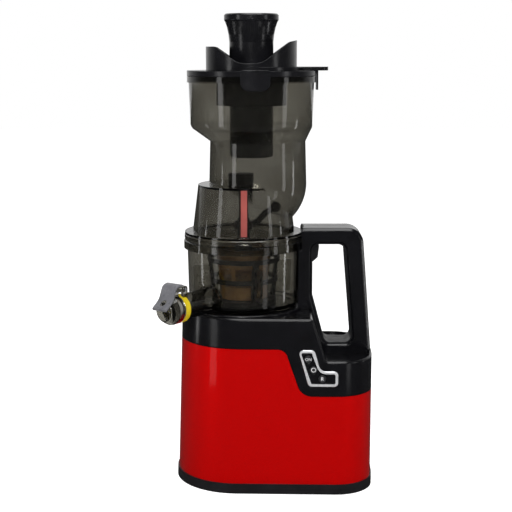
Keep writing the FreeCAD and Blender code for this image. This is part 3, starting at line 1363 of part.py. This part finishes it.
# Hopper, its hinged cover and the pusher
def make_hopper():
    x = number("hopper_offset_x")
    y = number("hopper_offset_y")
    wall = number("hopper_wall")
    corner = number("hopper_corner")
    joint = number("chute_top")
    chute = Vector(number("chute_offset_x"), number("chute_offset_y"), joint)
    rim_low = number("rim_bottom")
    rim_top = number("rim_top")
    radius = number("hopper_radius")
    low_radius = number("hopper_radius_low")

    def ring(centre, size):
        return Part.Wire(Part.Circle(centre, Vector(0, 0, 1), size).toShape())

    def rings_at(shape, height):
        """The flat edges of a shape at one height."""
        found = []
        for edge in shape.Edges:
            box_of = edge.BoundBox
            if abs(box_of.ZMin - height) < 0.01 and box_of.ZLength < 0.01:
                found.append(edge)
        return found

    def along_x(size, start, length, across, level):
        return Part.makeCylinder(size, length, Vector(start, across, level), Vector(1, 0, 0))

    outer = Part.makeCone(low_radius, radius, rim_low - corner, Vector(x, y, corner))
    outer = outer.fuse([
        Part.makeLoft([ring(chute, number("chute_radius_top")), ring(Vector(x, y, corner), low_radius)],
                      True, True),
        rod(number("rim_radius"), x, rim_low, rim_top, y),
    ]).removeSplitter()
    outer = outer.makeFillet(9.0, rings_at(outer, corner))
    inner_corner = corner + 1.2
    inner = Part.makeCone(low_radius - wall, radius - wall, rim_low - inner_corner,
                          Vector(x, y, inner_corner))
    inner = inner.fuse([
        Part.makeLoft([ring(chute, number("chute_radius_top - lid_wall")),
                       ring(Vector(x, y, inner_corner), low_radius - wall)], True, True),
        rod(radius - wall, x, rim_low, rim_top + 1, y),
    ]).removeSplitter()
    inner = inner.makeFillet(7.0, rings_at(inner, inner_corner))
    hinge_y = y + number("rim_radius") + 4.5
    hinge_z = rim_top - 1.2
    half = number("hinge_pin_length") / 2
    knuckle = half / 2
    pin_radius = number("hinge_pin_radius")
    ears = []
    for side in (-1, 1):
        low = x + knuckle + 0.3 if side > 0 else x - half
        long = half - knuckle - 0.3
        wall_y = y + radius - 1
        ears.append(along_x(4.2, low, long, hinge_y, hinge_z))
        ears.append(Part.makeBox(long, hinge_y - wall_y, 7.5, Vector(low, wall_y, hinge_z - 7.5)))
    hopper = outer.fuse(ears).cut(inner)
    hopper = hopper.cut(along_x(pin_radius, x - 100, 200, hinge_y, hinge_z))
    piece(formed("hopper", hopper), "hopper")
    hinge = along_x(pin_radius - 0.02, x - half, 2 * half, hinge_y, hinge_z)
    piece(formed("cover_pin", hinge), "cover_pin")

    plate_low = number("cover_top - cover_plate")
    top = number("cover_top")
    rim = number("rim_radius")
    hole = number("sleeve_radius + seat_fit")
    cover = rod(rim, x, plate_low, top, y).fuse([
        rod(rim, x, rim_top + 0.3, plate_low, y).cut(rod(rim - 3, x, 0, FAR, y)),
        rod(radius - wall - 0.4, x, rim_top - 5, plate_low, y).cut(rod(radius - wall - 2.4, x, 0, FAR, y)),
    ])
    cover = cover.fuse([
        along_x(4.2, x - knuckle, 2 * knuckle, hinge_y, hinge_z),
        Part.makeBox(2 * knuckle, hinge_y - y - rim + 3, top - rim_top - 0.3,
                     Vector(x - knuckle, y + rim - 3, rim_top + 0.3)),
    ])
    clip = rod(rim + 2.6, x, rim_low - 8, top, y).cut(rod(rim + 0.4, x, rim_low - 9, top - 2.6, y))
    clip = clip.common(Part.makeBox(40, 14, 60, Vector(x + rim - 4, y - 7, rim_low - 8)))
    cover = cover.fuse(clip).cut(rod(hole, x, 0, FAR, y))
    bore = number("hinge_pin_radius + running_fit")
    cover = cover.cut(along_x(bore, x - 100, 200, hinge_y, hinge_z))
    piece(formed("hopper_cover", cover), "hopper_cover")

    funnel_radius = number("funnel_radius")
    left = number("funnel_left")
    dip = number("funnel_low")
    right = number("funnel_right")
    funnel_inside = funnel_radius - number("funnel_wall")
    funnel = rod(funnel_radius, x, top, right + 1, y).cut(rod(funnel_inside, x, 0, FAR, y))
    above = [
        (x - 90, left, 0),
        (x - 38.5, left, 5.0),
        (x - 13.5, dip, 20.0),
        (x + 10.5, dip, 20.0),
        (x + 41.0, right - 1.9, 3.0),
        (x + 90, right + 9.0, 0),
        (x + 90, right + 60, 0),
        (x - 90, right + 60, 0),
    ]
    funnel = funnel.cut(slab(rounded_wire(above), -200, 200))
    piece(formed("funnel", funnel), "funnel")

    sleeve = number("sleeve_radius")
    piece(turned("feed_sleeve", [
        ("sleeve_radius - sleeve_wall", "sleeve_bottom"),
        ("sleeve_radius", "sleeve_bottom"),
        ("sleeve_radius", "cover_top"),
        ("sleeve_radius - sleeve_wall", "cover_top"),
    ], ("hopper_offset_x", "hopper_offset_y", 0)), "feed_sleeve")

    thick = number("tab_thickness")
    band = rod(funnel_radius + 7, x, top, top + thick, y).cut(rod(funnel_radius + 0.1, x, 0, FAR, y))
    around = ((0, 0), (20, -120), (160, -60), (160, 40), (0, 0))
    front = [Vector(x + right_of, y + behind, top) for right_of, behind in around]
    band = band.common(Part.Face(Part.makePolygon(front)).extrude(Vector(0, 0, thick)))
    tab_half = number("tab_width") / 2
    tab_end = number("tab_reach") - tab_half
    tab_start = x + funnel_radius + 1
    tab = Part.makeBox(tab_end - tab_start, 2 * tab_half, thick, Vector(tab_start, y - tab_half, top))
    tab = tab.fuse(rod(tab_half, tab_end, top, top + thick, y))
    band = band.fuse(tab).removeSplitter()
    piece(formed("lift_tab", band), "lift_tab")

    low = number("latch_bottom")
    width = number("latch_width")
    middle = x + 4.3
    tongue = rod(rim + 4.0, x, low, top + 1.2, y).cut(rod(rim + 0.5, x, low - 1, top, y))
    tongue = tongue.cut(rod(rim - 9.0, x, 0, FAR, y))
    shape = [(middle - width / 2, low, 9.0), (middle + width / 2, low, 9.0),
             (middle + width / 2, top + 1.2, 2.0), (middle - width / 2, top + 1.2, 2.0)]
    tongue = tongue.common(slab(rounded_wire(shape), y - rim - 20, y - 20))
    piece(formed("cover_latch", tongue), "cover_latch")

    wide = "pusher_radius - pusher_wall"
    piece(turned("pusher", [
        (0, "pusher_bottom"),
        ("pusher_radius - 1.5", "pusher_bottom"),
        ("pusher_radius", "pusher_bottom + 1.5"),
        ("pusher_radius", "cover_top + seat_fit"),
        ("sleeve_radius + 4", "cover_top + seat_fit"),
        ("sleeve_radius + 4", "cover_top + 2.6"),
        ("pusher_radius", "cover_top + 4.5"),
        ("pusher_radius", "pusher_top - 30"),
        ("pusher_radius + 0.9", "pusher_top - 22"),
        ("pusher_radius + 2.6", "pusher_top - 14"),
        ("pusher_rim - 1.2", "pusher_top - pusher_lip - 2"),
        ("pusher_rim", "pusher_top - pusher_lip"),
        ("pusher_rim", "pusher_top - 1.5"),
        ("pusher_rim - 1.5", "pusher_top"),
        ("pusher_rim - 4", "pusher_top"),
        (wide, "pusher_top - pusher_lip - 8"),
        (wide, "pusher_bottom + 3"),
        (0, "pusher_bottom + 3"),
    ], ("hopper_offset_x", "hopper_offset_y", 0)), "pusher")


housing_shape = make_base()
make_controls()
make_handle(housing_shape)
make_drive()
make_bowl()
make_pressing_set()
make_lid()
make_hopper()


# Check every object, then write one file for each piece. The juicer is drawn
# about its drive axis, and the files have their origin under the middle of it.
doc.recompute()
for thing in doc.Objects:
    if "Invalid" in thing.State or "Error" in thing.State:
        raise RuntimeError("failed: " + thing.Name)
os.makedirs("parts", exist_ok=True)
to_middle = Vector(-number("origin_right"), number("origin_forward"), 0)
for thing in pieces:
    shape = thing.Shape.translated(to_middle)
    if shape.isNull() or not shape.isValid():
        raise RuntimeError("bad shape: " + thing.Label)
    shape.exportStep("parts/%s.step" % thing.Label)
    print("%-20s solids %d volume %.0f" % (thing.Label, len(shape.Solids), shape.Volume))
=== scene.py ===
import bmesh
import bpy
import math
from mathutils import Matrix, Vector


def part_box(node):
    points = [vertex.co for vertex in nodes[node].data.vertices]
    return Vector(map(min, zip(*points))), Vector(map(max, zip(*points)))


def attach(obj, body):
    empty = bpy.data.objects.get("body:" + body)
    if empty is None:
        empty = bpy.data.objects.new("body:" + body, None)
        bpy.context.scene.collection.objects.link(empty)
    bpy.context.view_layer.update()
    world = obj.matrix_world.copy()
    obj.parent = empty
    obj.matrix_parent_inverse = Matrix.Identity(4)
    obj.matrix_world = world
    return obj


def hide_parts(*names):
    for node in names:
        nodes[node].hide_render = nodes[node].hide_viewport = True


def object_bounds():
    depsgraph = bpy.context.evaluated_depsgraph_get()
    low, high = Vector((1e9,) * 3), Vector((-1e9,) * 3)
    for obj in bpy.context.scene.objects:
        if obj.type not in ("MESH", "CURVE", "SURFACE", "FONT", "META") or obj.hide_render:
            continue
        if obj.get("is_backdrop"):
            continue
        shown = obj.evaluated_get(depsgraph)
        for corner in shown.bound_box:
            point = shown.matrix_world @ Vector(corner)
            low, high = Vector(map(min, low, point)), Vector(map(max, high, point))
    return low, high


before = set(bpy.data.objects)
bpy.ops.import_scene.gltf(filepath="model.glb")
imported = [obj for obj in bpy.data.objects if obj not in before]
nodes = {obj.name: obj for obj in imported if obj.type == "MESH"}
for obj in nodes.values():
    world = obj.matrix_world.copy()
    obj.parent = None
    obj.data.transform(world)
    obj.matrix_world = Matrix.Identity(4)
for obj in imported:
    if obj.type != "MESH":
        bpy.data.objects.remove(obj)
cad_box = [list(corner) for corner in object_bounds()]


def linear(code):
    """An sRGB hex colour as the linear colour that a shader takes."""
    parts = [int(code[i:i + 2], 16) / 255 for i in (0, 2, 4)]
    return [c / 12.92 if c <= 0.04045 else ((c + 0.055) / 1.055) ** 2.4 for c in parts] + [1.0]


def add(tree, kind, settings=None, links=None):
    """Adds a shader node with its settings and the sockets that feed it."""
    made = tree.nodes.new(kind)
    for name, value in (settings or {}).items():
        if isinstance(name, int) or name in made.inputs:
            made.inputs[name].default_value = value
        else:
            setattr(made, name, value)
    for name, source in (links or {}).items():
        tree.links.new(source, made.inputs[name])
    return made


def material(name):
    """An empty node material and its output."""
    made = bpy.data.materials.new(name)
    made.use_nodes = True
    made.node_tree.nodes.clear()
    return made, made.node_tree, add(made.node_tree, "ShaderNodeOutputMaterial")


def speckle(tree, size, low, high, detail=2.0, stretch=(1.0, 1.0, 1.0)):
    """Noise about size metres across, spread between two values."""
    place = add(tree, "ShaderNodeTexCoord")
    scaled = add(tree, "ShaderNodeMapping", {"Scale": stretch}, {"Vector": place.outputs["Object"]})
    noise = add(tree, "ShaderNodeTexNoise", {"Scale": 1.0 / size, "Detail": detail},
                {"Vector": scaled.outputs["Vector"]})
    spread = add(tree, "ShaderNodeMapRange",
                 {"To Min": low, "To Max": high, "From Min": 0.3, "From Max": 0.7},
                 {"Value": noise.outputs[0]})
    return spread.outputs["Result"]


def tinted(tree, first, second, factor):
    """A colour that wanders between two hex colours."""
    mix = add(tree, "ShaderNodeMix", {"data_type": "RGBA"})
    mix.inputs[6].default_value = linear(first)
    mix.inputs[7].default_value = linear(second)
    tree.links.new(factor, mix.inputs[0])
    return mix.outputs[2]


def moulded(name, first, second, rough, grain, depth, specular=0.5, metallic=0.0, patch=0.02, edge=0.0):
    """A moulded or plated surface: colour drift, wear in the gloss, a fine grain and broken edges.

    Grain is the size and depth the height of the fine texture; patch is the size of the
    colour drift and edge the radius of the broken edges, all in metres.
    """
    made, tree, out = material(name)
    colour = tinted(tree, first, second, speckle(tree, patch, 0.0, 1.0, 3.0))
    gloss = speckle(tree, patch * 0.6, rough * 0.8, min(rough * 1.3, 1.0), 4.0)
    bump = add(tree, "ShaderNodeBump", {"Strength": 0.5, "Distance": depth},
               {"Height": speckle(tree, grain, 0.0, 1.0, 2.0)})
    if edge:
        rounded = add(tree, "ShaderNodeBevel", {"samples": 6, "Radius": edge})
        tree.links.new(rounded.outputs["Normal"], bump.inputs["Normal"])
    shader = add(tree, "ShaderNodeBsdfPrincipled",
                 {"Metallic": metallic, "Specular IOR Level": specular},
                 {"Base Color": colour, "Roughness": gloss, "Normal": bump.outputs["Normal"]})
    tree.links.new(shader.outputs["BSDF"], out.inputs["Surface"])
    return made


def paint(made, *names):
    """Gives CAD nodes a material."""
    for name in names:
        for slot in nodes[name].material_slots:
            slot.material = made


def mesh_object(name, built, made):
    """An object of a built mesh in one material."""
    mesh = bpy.data.meshes.new(name)
    built.to_mesh(mesh)
    built.free()
    piece = bpy.data.objects.new(name, mesh)
    bpy.context.scene.collection.objects.link(piece)
    piece.data.materials.append(made)
    return piece


# Camera at the photograph's height and tilt: it stands 1.28 m in front of the
# drive axis, level with the hopper, and looks about 10 degrees down.
camera = bpy.data.objects.new("camera", bpy.data.cameras.new("camera"))
camera_offset = Vector((0.0137, -1.2755, 0.4736))
camera_pitch = 9.9
camera.data.lens = 82.05
camera.data.sensor_width = 36.0
low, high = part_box("drive_shaft")
axis = Vector(((low[0] + high[0]) / 2, (low[1] + high[1]) / 2, 0))
camera.location = axis + camera_offset
camera.rotation_euler = (math.radians(90 - camera_pitch), 0, 0)
bpy.context.scene.collection.objects.link(camera)
bpy.context.scene.camera = camera
bpy.context.scene.view_settings.view_transform = "Standard"

# World: white where it is seen straight, through the smoke plastic or mirrored
# from behind, dimmer on the camera's side, and a plain soft fill for all else.
fill_strength = 0.32
gloss_front, gloss_behind = 0.06, 0.75
world = bpy.data.worlds.new("studio")
bpy.context.scene.world = world
world.use_nodes = True
sky = world.node_tree
sky.nodes.clear()
path = add(sky, "ShaderNodeLightPath")
heading = add(sky, "ShaderNodeTexCoord")
split = add(sky, "ShaderNodeSeparateXYZ", {}, {"Vector": heading.outputs["Generated"]})
behind = add(sky, "ShaderNodeMapRange",
             {"From Min": 0.2, "From Max": 0.9, "To Min": gloss_front, "To Max": gloss_behind},
             {"Value": split.outputs["Y"]})
fill = add(sky, "ShaderNodeBackground", {"Color": (1, 1, 1, 1), "Strength": fill_strength})
mirrored = add(sky, "ShaderNodeBackground", {"Color": (1, 1, 1, 1)}, {"Strength": behind.outputs["Result"]})
white = add(sky, "ShaderNodeBackground", {"Color": (1, 1, 1, 1), "Strength": 1.0})
gloss_mix = add(sky, "ShaderNodeMixShader", {},
                {0: path.outputs["Is Glossy Ray"], 1: fill.outputs[0], 2: mirrored.outputs[0]})
clear = add(sky, "ShaderNodeMath", {"operation": "MAXIMUM"})
sky.links.new(path.outputs["Is Camera Ray"], clear.inputs[0])
sky.links.new(path.outputs["Is Transmission Ray"], clear.inputs[1])
seen = add(sky, "ShaderNodeMixShader", {},
           {0: clear.outputs[0], 1: gloss_mix.outputs[0], 2: white.outputs[0]})
add(sky, "ShaderNodeOutputWorld", {}, {"Surface": seen.outputs[0]})

# Softboxes: a tall strip on each side, a broad one overhead and two in front, of
# which only the weaker is mirrored. Edge and low strips stand near the floor,
# where upright walls that are seen from above mirror them. No lamp is seen itself.
for name, place, target, size, power, mirrored_in_gloss in (
        ("strip_left", (-1.15, -0.75, 0.42), (0, 0, 0.25), (0.24, 1.2), 2.0, True),
        ("strip_right", (1.2, -0.6, 0.45), (0.03, 0, 0.25), (0.2, 1.2), 1.3, True),
        ("edge_left", (-0.8, 0.02, 0.06), (0, 0, 0.12), (0.06, 0.5), 0.3, True),
        ("edge_right", (0.9, 0.02, 0.06), (0.1, 0, 0.12), (0.06, 0.5), 0.4, True),
        ("overhead", (0.1, -0.2, 1.5), (0.03, 0, 0.3), (0.9, 0.9), 10, True),
        ("front", (0.1, -1.9, 0.9), (0.03, 0, 0.2), (0.5, 0.5), 25, False),
        ("front_gloss", (-0.1, -1.7, 1.0), (0.03, 0, 0.2), (0.35, 0.5), 5, True),
        ("low_left", (-0.42, -0.32, 0.06), (0, 0, 0.08), (0.12, 0.36), 0.1, True),
        ("low_right", (0.4, -0.42, 0.05), (0.1, 0, 0.08), (0.1, 0.3), 0.08, True)):
    lamp = bpy.data.objects.new(name, bpy.data.lights.new(name, "AREA"))
    lamp.data.shape = "RECTANGLE"
    lamp.data.size, lamp.data.size_y = size
    lamp.data.energy = power
    lamp.location = axis + Vector(place)
    lamp.rotation_euler = (Vector(target) - Vector(place)).to_track_quat("-Z", "Y").to_euler()
    lamp.visible_glossy = mirrored_in_gloss
    lamp.visible_camera = False
    bpy.context.scene.collection.objects.link(lamp)

# Floor: a white paper sweep that keeps the soft shadow round the feet. It glows a
# little where it is seen, and is dark in mirror images, as in the photograph.
floor_half = 6.0
seen_glow = 0.82
mirrored_grey = (0.05, 0.05, 0.05, 1)
grid = bmesh.new()
bmesh.ops.create_grid(grid, x_segments=1, y_segments=1, size=floor_half)
paper, tree, out = material("white_paper_sweep")
ray = add(tree, "ShaderNodeLightPath")
pale = tinted(tree, "E9E9E8", "ECECEB", speckle(tree, 0.3, 0, 1))
dimmed = add(tree, "ShaderNodeMix", {"data_type": "RGBA", 7: mirrored_grey},
             {0: ray.outputs["Is Glossy Ray"], 6: pale})
diffuse = add(tree, "ShaderNodeBsdfDiffuse", {}, {"Color": dimmed.outputs[2]})
straight = add(tree, "ShaderNodeMath", {"operation": "MAXIMUM"},
               {0: ray.outputs["Is Camera Ray"], 1: ray.outputs["Is Transmission Ray"]})
lift = add(tree, "ShaderNodeMath", {"operation": "MULTIPLY", 1: seen_glow}, {0: straight.outputs[0]})
glow = add(tree, "ShaderNodeEmission", {"Color": (1, 1, 1, 1)}, {"Strength": lift.outputs[0]})
both = add(tree, "ShaderNodeAddShader", {}, {0: diffuse.outputs[0], 1: glow.outputs[0]})
tree.links.new(both.outputs[0], out.inputs["Surface"])
floor = mesh_object("floor", grid, paper)
floor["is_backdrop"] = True

# Base shell: ABS moulding sprayed metallic red under a clear coat. The flake
# makes the red sparkle finely and the coat gives the tall sharp highlights.
red, tree, out = material("metallic_red_lacquer")
flake = speckle(tree, 0.00035, 0.0, 1.0, 1.0)
colour = tinted(tree, "D40000", "F20304", flake)
wave = add(tree, "ShaderNodeBump", {"Strength": 0.25, "Distance": 0.00006},
           {"Height": speckle(tree, 0.0022, 0.0, 1.0)})
shader = add(tree, "ShaderNodeBsdfPrincipled",
             {"Metallic": 0.65, "Specular IOR Level": 0.08, "Coat Weight": 0.6, "Coat Roughness": 0.05},
             {"Base Color": colour, "Roughness": speckle(tree, 0.001, 0.36, 0.48),
              "Coat Normal": wave.outputs["Normal"]})
tree.links.new(shader.outputs["BSDF"], out.inputs["Surface"])
paint(red, "base_shell")

# Upper housing, seat ring, handle shells and switch panel: polished black ABS,
# with the faint waviness of a moulding, uneven gloss and softly broken edges.
black_gloss = moulded("polished_black_abs", "08080A", "0D0D10", 0.16, 0.003, 0.00004, edge=0.002)
paint(black_gloss, "upper_housing", "bowl_seat", "handle_front_shell", "handle_rear_shell", "switch_panel")

# Trim, plate, grip liner, trigger and the black mouldings inside the machine: ABS
# with a spark-eroded grain, which spreads the highlight to a dull sheen.
black_satin = moulded("grained_black_abs", "101012", "17171A", 0.42, 0.0006, 0.00005, specular=0.4)
paint(black_satin, "base_trim", "bottom_plate", "grip_liner", "release_trigger", "gearbox_case",
      "gearbox_cover", "capacitor_clip", "feed_sleeve", "bearing_cap")

# Feet, gland, shaft seal and drain plug: moulded black rubber, matt and dusty.
rubber = moulded("moulded_black_rubber", "141414", "1E1E1D", 0.75, 0.0009, 0.00008, specular=0.25)
paint(rubber, "feet", "cord_gland", "shaft_seal", "drain_plug")

# Screws, bearings and pins: bright zinc-plated steel with a fine drawn grain.
steel = moulded("zinc_plated_steel", "A8A9AC", "C0C1C4", 0.28, 0.0004, 0.00003, metallic=1.0, patch=0.004)
paint(steel, "foot_screws", "motor_bearings", "idler_pin", "drive_bearings", "cap_pin", "cover_pin")

# Drive shaft and auger socket: brushed stainless steel.
stainless = moulded("brushed_stainless_steel", "9A9A9C", "B6B6B8", 0.3, 0.0003, 0.00003,
                    metallic=1.0, patch=0.003)
paint(stainless, "drive_shaft", "auger_socket")

# Inside the base: varnished laminations, die-cast end caps, a capacitor can in the
# same bright grey, nylon gears and boards under green solder mask.
laminations = moulded("varnished_laminations", "2A2422", "3A302B", 0.5, 0.0005, 0.0001, patch=0.004)
paint(laminations, "motor_stator", "motor_rotor")
cast = moulded("die_cast_aluminium", "8B8D90", "A2A4A8", 0.45, 0.0008, 0.00008, metallic=1.0)
paint(cast, "motor_end_caps", "run_capacitor")
nylon = moulded("natural_nylon", "D9D5C6", "E4E0D2", 0.4, 0.0009, 0.00004, patch=0.006)
paint(nylon, "idler_gear", "drive_gear")
laminate = moulded("green_solder_mask", "0F3D22", "14502C", 0.35, 0.0007, 0.00005, patch=0.003)
paint(laminate, "control_board", "switch_board")

# Switch bezel: bright chrome over plastic, a thin line round the panel.
chrome = moulded("bright_chrome_plating", "DADBDD", "ECEDEF", 0.22, 0.002, 0.00001,
                 metallic=0.55, patch=0.004)
paint(chrome, "switch_bezel")

# Push buttons: dark grey satin caps.
button_grey = moulded("satin_grey_button", "1B1B1D", "242426", 0.35, 0.0005, 0.00003, patch=0.004)
paint(button_grey, "button_on", "button_off", "button_reverse")

# Legends: ON, O and R pad-printed in pale grey ink on the button caps. The ink
# film is thin, so it follows the caps' slight turn with the front face.
ink = moulded("pale_grey_pad_print", "B4B4B6", "CDCDCF", 0.5, 0.0003, 0.00001,
              specular=0.3, patch=0.001)
ink_half_depth = 0.00004
ink_sink = 0.00010
ink_shift = 0.0001
cap_turn = -1.76
for text, node, body, height in (("ON", "button_on", "start_button", 0.0044),
                                 ("O", "button_off", "stop_button", 0.0072),
                                 ("R", "button_reverse", "reverse_button", 0.0056)):
    low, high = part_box(node)
    curve = bpy.data.curves.new("legend_" + node, "FONT")
    curve.body = text
    curve.size = height
    curve.extrude = ink_half_depth
    curve.resolution_u = 6
    curve.align_x = "CENTER"
    curve.align_y = "CENTER"
    curve.materials.append(ink)
    legend = bpy.data.objects.new("legend_" + node, curve)
    legend.location = ((low[0] + high[0]) / 2 - ink_shift, low[1] + ink_sink, (low[2] + high[2]) / 2)
    legend.rotation_euler = (math.radians(90), 0, math.radians(cap_turn))
    bpy.context.scene.collection.objects.link(legend)
    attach(legend, body)


def smoke(name, tint, density, rough):
    """Clear dark plastic: the walls drink light with their thickness, so edges go dark."""
    made, tree, out = material(name)
    ripple = add(tree, "ShaderNodeBump", {"Strength": 0.2, "Distance": 0.00004},
                 {"Height": speckle(tree, 0.006, 0.0, 1.0, 2.0, (1.0, 1.0, 0.25))})
    glass = add(tree, "ShaderNodeBsdfPrincipled",
                {"Transmission Weight": 1.0, "IOR": 1.49},
                {"Base Color": tinted(tree, tint, "EDECE8", speckle(tree, 0.03, 0.0, 1.0)),
                 "Roughness": speckle(tree, 0.01, rough * 0.6, rough * 1.6),
                 "Normal": ripple.outputs["Normal"]})
    ray = add(tree, "ShaderNodeLightPath")
    through = add(tree, "ShaderNodeBsdfTransparent", {"Color": (0.62, 0.61, 0.58, 1)})
    mix = add(tree, "ShaderNodeMixShader", {},
              {0: ray.outputs["Is Shadow Ray"], 1: glass.outputs[0], 2: through.outputs[0]})
    inside = add(tree, "ShaderNodeVolumeAbsorption", {"Color": (0.30, 0.29, 0.25, 1), "Density": density})
    tree.links.new(mix.outputs[0], out.inputs["Surface"])
    tree.links.new(inside.outputs[0], out.inputs["Volume"])
    return made


# Lid with chute, hopper, bowl and spout cap: smoke-tinted polycarbonate, polished.
# The bowl drinks a little less light than the lid, and the thick cap far less.
smoke_clear = smoke("smoke_polycarbonate", "D8D6D0", 480.0, 0.06)
paint(smoke_clear, "chute_lid", "hopper")
smoke_bowl = smoke("smoke_polycarbonate_bowl", "DCDAD4", 430.0, 0.04)
paint(smoke_bowl, "juicing_bowl")
smoke_cap = smoke("smoke_polycarbonate_cap", "DCDAD4", 120.0, 0.05)
paint(smoke_cap, "spout_cap")

# Wiper blades: translucent grey silicone, which almost vanishes in the bowl.
smoke_silicone = smoke("translucent_grey_silicone", "CFCDC6", 160.0, 0.3)
paint(smoke_silicone, "wiper_blades")

# Moulded silicone, soft in its sheen: white seals of bowl and lid, the lid's red
# alignment strip and the yellow ring on the spout.
white_silicone = moulded("white_silicone", "C9C6BD", "D8D5CC", 0.6, 0.0009, 0.00005, specular=0.3)
paint(white_silicone, "bowl_gasket", "lid_gasket")
red_silicone = moulded("red_silicone", "7E3A36", "90463F", 0.5, 0.0009, 0.00005, specular=0.3)
paint(red_silicone, "alignment_strip")
yellow_silicone = moulded("yellow_silicone", "B8A210", "C8B21C", 0.45, 0.0008, 0.00004, specular=0.35)
paint(yellow_silicone, "spout_ring")

# Wiper frame, transfer gear, auger and feeding arm: dark glass-filled nylon, whose
# fibres break the gloss into a fine grain.
dark_nylon = moulded("dark_filled_nylon", "1C1B1A", "2A2827", 0.45, 0.0007, 0.00006,
                     specular=0.4, patch=0.008)
paint(dark_nylon, "wiper_frame", "transfer_gear", "auger", "feeding_arm")

# Strainer frame: amber polyetherimide, a hard brown plastic that stands hot
# washing. Its sheen is soft, and the mesh shows through its windows.
amber = moulded("amber_polyetherimide", "846642", "9A7A50", 0.35, 0.0007, 0.00005, patch=0.008)
paint(amber, "strainer_frame")

# Strainer mesh: photo-etched stainless sheet. Its gold-brown colour is a painted tint of the light that
# reaches it through the smoke, not the steel's own colour.
# It is a lattice of fine wires, so light comes through its holes.
etched = moulded("etched_mesh_painted_smoke_tint", "B08A5C", "D2B48C", 0.35, 0.0003, 0.00002,
                 metallic=1.0, patch=0.003)
low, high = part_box("strainer_mesh")
around, levels = 168, 20
wire = 0.00042
mesh_inset = 0.0003
taper = 0.0022
lattice = bmesh.new()
rows = []
for level in range(levels + 1):
    share = level / levels
    height = low[2] + (high[2] - low[2]) * share
    radius = high[0] - axis.x - mesh_inset - taper * (1 - share)
    rows.append([lattice.verts.new((axis.x + radius * math.cos(a), axis.y + radius * math.sin(a), height))
                 for a in (2 * math.pi * i / around for i in range(around))])
for below, above in zip(rows, rows[1:]):
    for i in range(around):
        j = (i + 1) % around
        lattice.faces.new((below[i], below[j], above[j], above[i]))
net = mesh_object("strainer_lattice", lattice, etched)
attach(net, "bowl")
wires = net.modifiers.new("wires", "WIREFRAME")
wires.thickness = wire
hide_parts("strainer_mesh")

# Spout lever: grey satin ABS, a single moulding with rounded edges.
lever_grey = moulded("satin_grey_abs", "5A5A5E", "68686C", 0.3, 0.0007, 0.00004, patch=0.01, edge=0.0009)
paint(lever_grey, "spout_lever")

# Hopper cover, funnel, tab, latch and pusher: black ABS, polished.
black_top = moulded("polished_black_abs_top", "0C0C0E", "141417", 0.2, 0.002, 0.00004, edge=0.001)
paint(black_top, "hopper_cover", "funnel", "lift_tab", "cover_latch", "pusher")

size = {"cad": cad_box, "visual": [list(corner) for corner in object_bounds()]}
